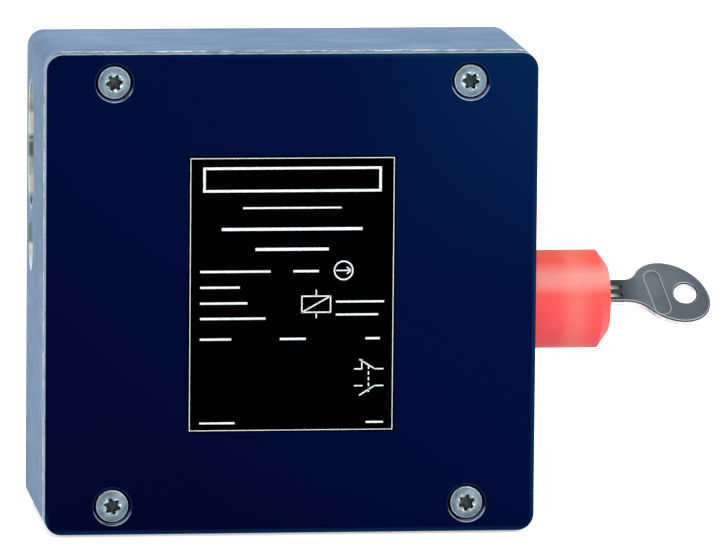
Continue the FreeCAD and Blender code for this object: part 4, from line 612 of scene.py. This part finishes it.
def add_print():
    """Border, blank ruled fields and plain circuit signs: coil, two contacts and an arrow into a ring."""
    low, high = box("label_plate")
    half_x, half_z = high.x / MM - BORDER_MARGIN, high.z / MM - BORDER_MARGIN
    ink = bmesh.new()
    frame_lines(ink, -half_x, -half_z, half_x, half_z, BORDER_WIDTH)
    frame_lines(ink, *HEAD_FIELD, HEAD_FIELD_WIDTH)
    frame_lines(ink, *COIL_FRAME, SIGN_WIDTH)
    ring_line(ink, *ENTRY_RING, ENTRY_RING_WIDTH)
    for left, right, level, width in RULED_LINES:
        stroke(ink, (left, level), (right, level), width)
    for start, end in ENTRY_ARROW + COIL_SIGN + CONTACT_SIGNS + LINK_DASHES:
        stroke(ink, start, end, SIGN_WIDTH)
    grown = bmesh.ops.extrude_face_region(ink, geom=list(ink.faces))["geom"]
    raised = [piece for piece in grown if isinstance(piece, bmesh.types.BMVert)]
    bmesh.ops.translate(ink, verts=raised, vec=(0, -INK_THICKNESS, 0))
    bmesh.ops.translate(ink, verts=ink.verts, vec=(0, low.y + INK_ROOM + INK_SINK, 0))
    add_piece("label_print", ink, label_ink())


add_plate()
add_print()


# ---- springs ----

X_AXIS, Z_AXIS = (1, 0, 0), (0, 0, 1)
# each spring's joint, axis, anchored corner, and how far it shortens: a little more than the joint moves
SOFT_SPRINGS = {
    "bolt_spring": ("bolt_slide", Z_AXIS, box("bolt_spring")[1], 4.1 * MM),
    "latch_spring": ("latch_slide", X_AXIS, box("latch_spring")[0], 1.05 * MM),
    "door_switch_spring": ("door_plunger", X_AXIS, box("door_switch_spring")[1], 3.1 * MM),
}


def add_soft_spring(node, joint, axis, anchor, travel):
    """A coil spring with its doubled points merged, in place of the stiff one."""
    made = bmesh.new()
    made.from_mesh(NODES[node].data)
    bmesh.ops.remove_doubles(made, verts=made.verts, dist=TOUCH)
    piece = add_piece(node + "_coils", made, FINISHES["spring_steel"])
    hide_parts(node)
    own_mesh(piece)


for name, motion in SOFT_SPRINGS.items():
    add_soft_spring(name, *motion)


# ---- camera, light and floor ----

CAMERA_ANGLES = (6.957, 8.168, 0.514)  # to the left of the front, above it, and the roll, in degrees
CAMERA_AIM = Vector((17.0, -23.0, -0.5)) * MM
CAMERA_DISTANCE = 2.0
LENS = 478.65  # millimetres, as is the sensor's width
SENSOR_WIDTH = 36
FLOOR_GAP = 0.5 * MM
FLOOR_WIDTH = 8.0


def add_camera():
    """A long lens, left of the front and a little above."""
    turn, rise, roll = (math.radians(angle) for angle in CAMERA_ANGLES)
    ahead = Vector((math.sin(turn) * math.cos(rise), math.cos(turn) * math.cos(rise), -math.sin(rise)))
    right = Vector((math.cos(turn), -math.sin(turn), 0))
    up = right.cross(ahead)
    side = math.cos(roll) * right + math.sin(roll) * up
    top = math.cos(roll) * up - math.sin(roll) * right
    turned = Matrix((side, top, -ahead)).transposed().to_4x4()
    data = bpy.data.cameras.new("camera")
    data.sensor_width = SENSOR_WIDTH
    data.lens = LENS
    data.clip_start, data.clip_end = 0.05, 20
    camera = bpy.data.objects.new("camera", data)
    camera.matrix_world = Matrix.Translation(CAMERA_AIM - CAMERA_DISTANCE * ahead) @ turned
    bpy.context.collection.objects.link(camera)
    bpy.context.scene.camera = camera


def add_light(name, place, width, power):
    """A soft square light that faces the frame's origin, with its power in watts."""
    data = bpy.data.lights.new(name, "AREA")
    data.shape = "SQUARE"
    data.size = width
    data.energy = power
    lamp = bpy.data.objects.new(name, data)
    lamp.location = place
    lamp.rotation_euler = (-Vector(place)).to_track_quat("-Z", "Y").to_euler()
    bpy.context.collection.objects.link(lamp)


def seen_directly(tree):
    """One for rays from the camera and for those that a gloss or glass sends on."""
    seen = add_node(tree, "LightPath", out="Is Camera Ray")
    for name in ("Is Glossy Ray", "Is Transmission Ray"):
        sent = add_node(tree, "LightPath", out=name)
        seen = add_node(tree, "Math", {0: seen, 1: sent}, operation="MAXIMUM")
    return seen


def add_floor():
    """White card that keeps the object's shadow."""
    made = bmesh.new()
    level = Matrix.Translation((0, 0, CAD_BOX[0][2] - FLOOR_GAP))
    bmesh.ops.create_grid(made, x_segments=1, y_segments=1, size=FLOOR_WIDTH / 2, matrix=level)
    mesh = bpy.data.meshes.new("floor")
    made.to_mesh(mesh)
    made.free()
    floor = bpy.data.objects.new("floor", mesh)
    bpy.context.collection.objects.link(floor)
    paint = Paint("white_card", Roughness=0.9, Specular_IOR_Level=0.0, Emission_Color=colour("#FFFFFF"))
    paint.set(Base_Color=layered(paint, "#EEEEEE", (patches(paint, 4 * MM), "#F4F4F4")),
              Emission_Strength=all_of(paint, seen_directly(paint.tree), 0.55))
    mesh.materials.append(paint.material)


def add_world():
    """A white room, a little dimmer below, in front and on the lock's side, that shows as plain white."""
    world = bpy.data.worlds.new("studio")
    bpy.context.scene.world = world
    world.use_nodes = True
    tree = world.node_tree
    direction = add_node(tree, "TexCoord", out="Generated")
    slope = add_node(tree, "VectorMath", {0: direction, 1: (-0.15, 0.1, 0.95)}, out="Value",
                     operation="DOT_PRODUCT")
    level = add_node(tree, "MapRange", {0: slope, 1: -0.6, 2: 1.0, 3: 0.7, 4: 1.0})
    room = add_node(tree, "Background", {0: colour("#FFFFFF"), 1: level})
    plain = add_node(tree, "Background", {0: colour("#FFFFFF"), 1: 1.0})
    shown = add_node(tree, "MixShader", {0: seen_directly(tree), 1: room, 2: plain})
    tree.links.new(shown, tree.nodes["World Output"].inputs["Surface"])


add_camera()
add_floor()
add_world()
add_light("overhead", (-0.1, 0.2, 0.9), width=0.6, power=2)
add_light("front", (0.5, -1.1, 0.35), width=0.4, power=5.5)
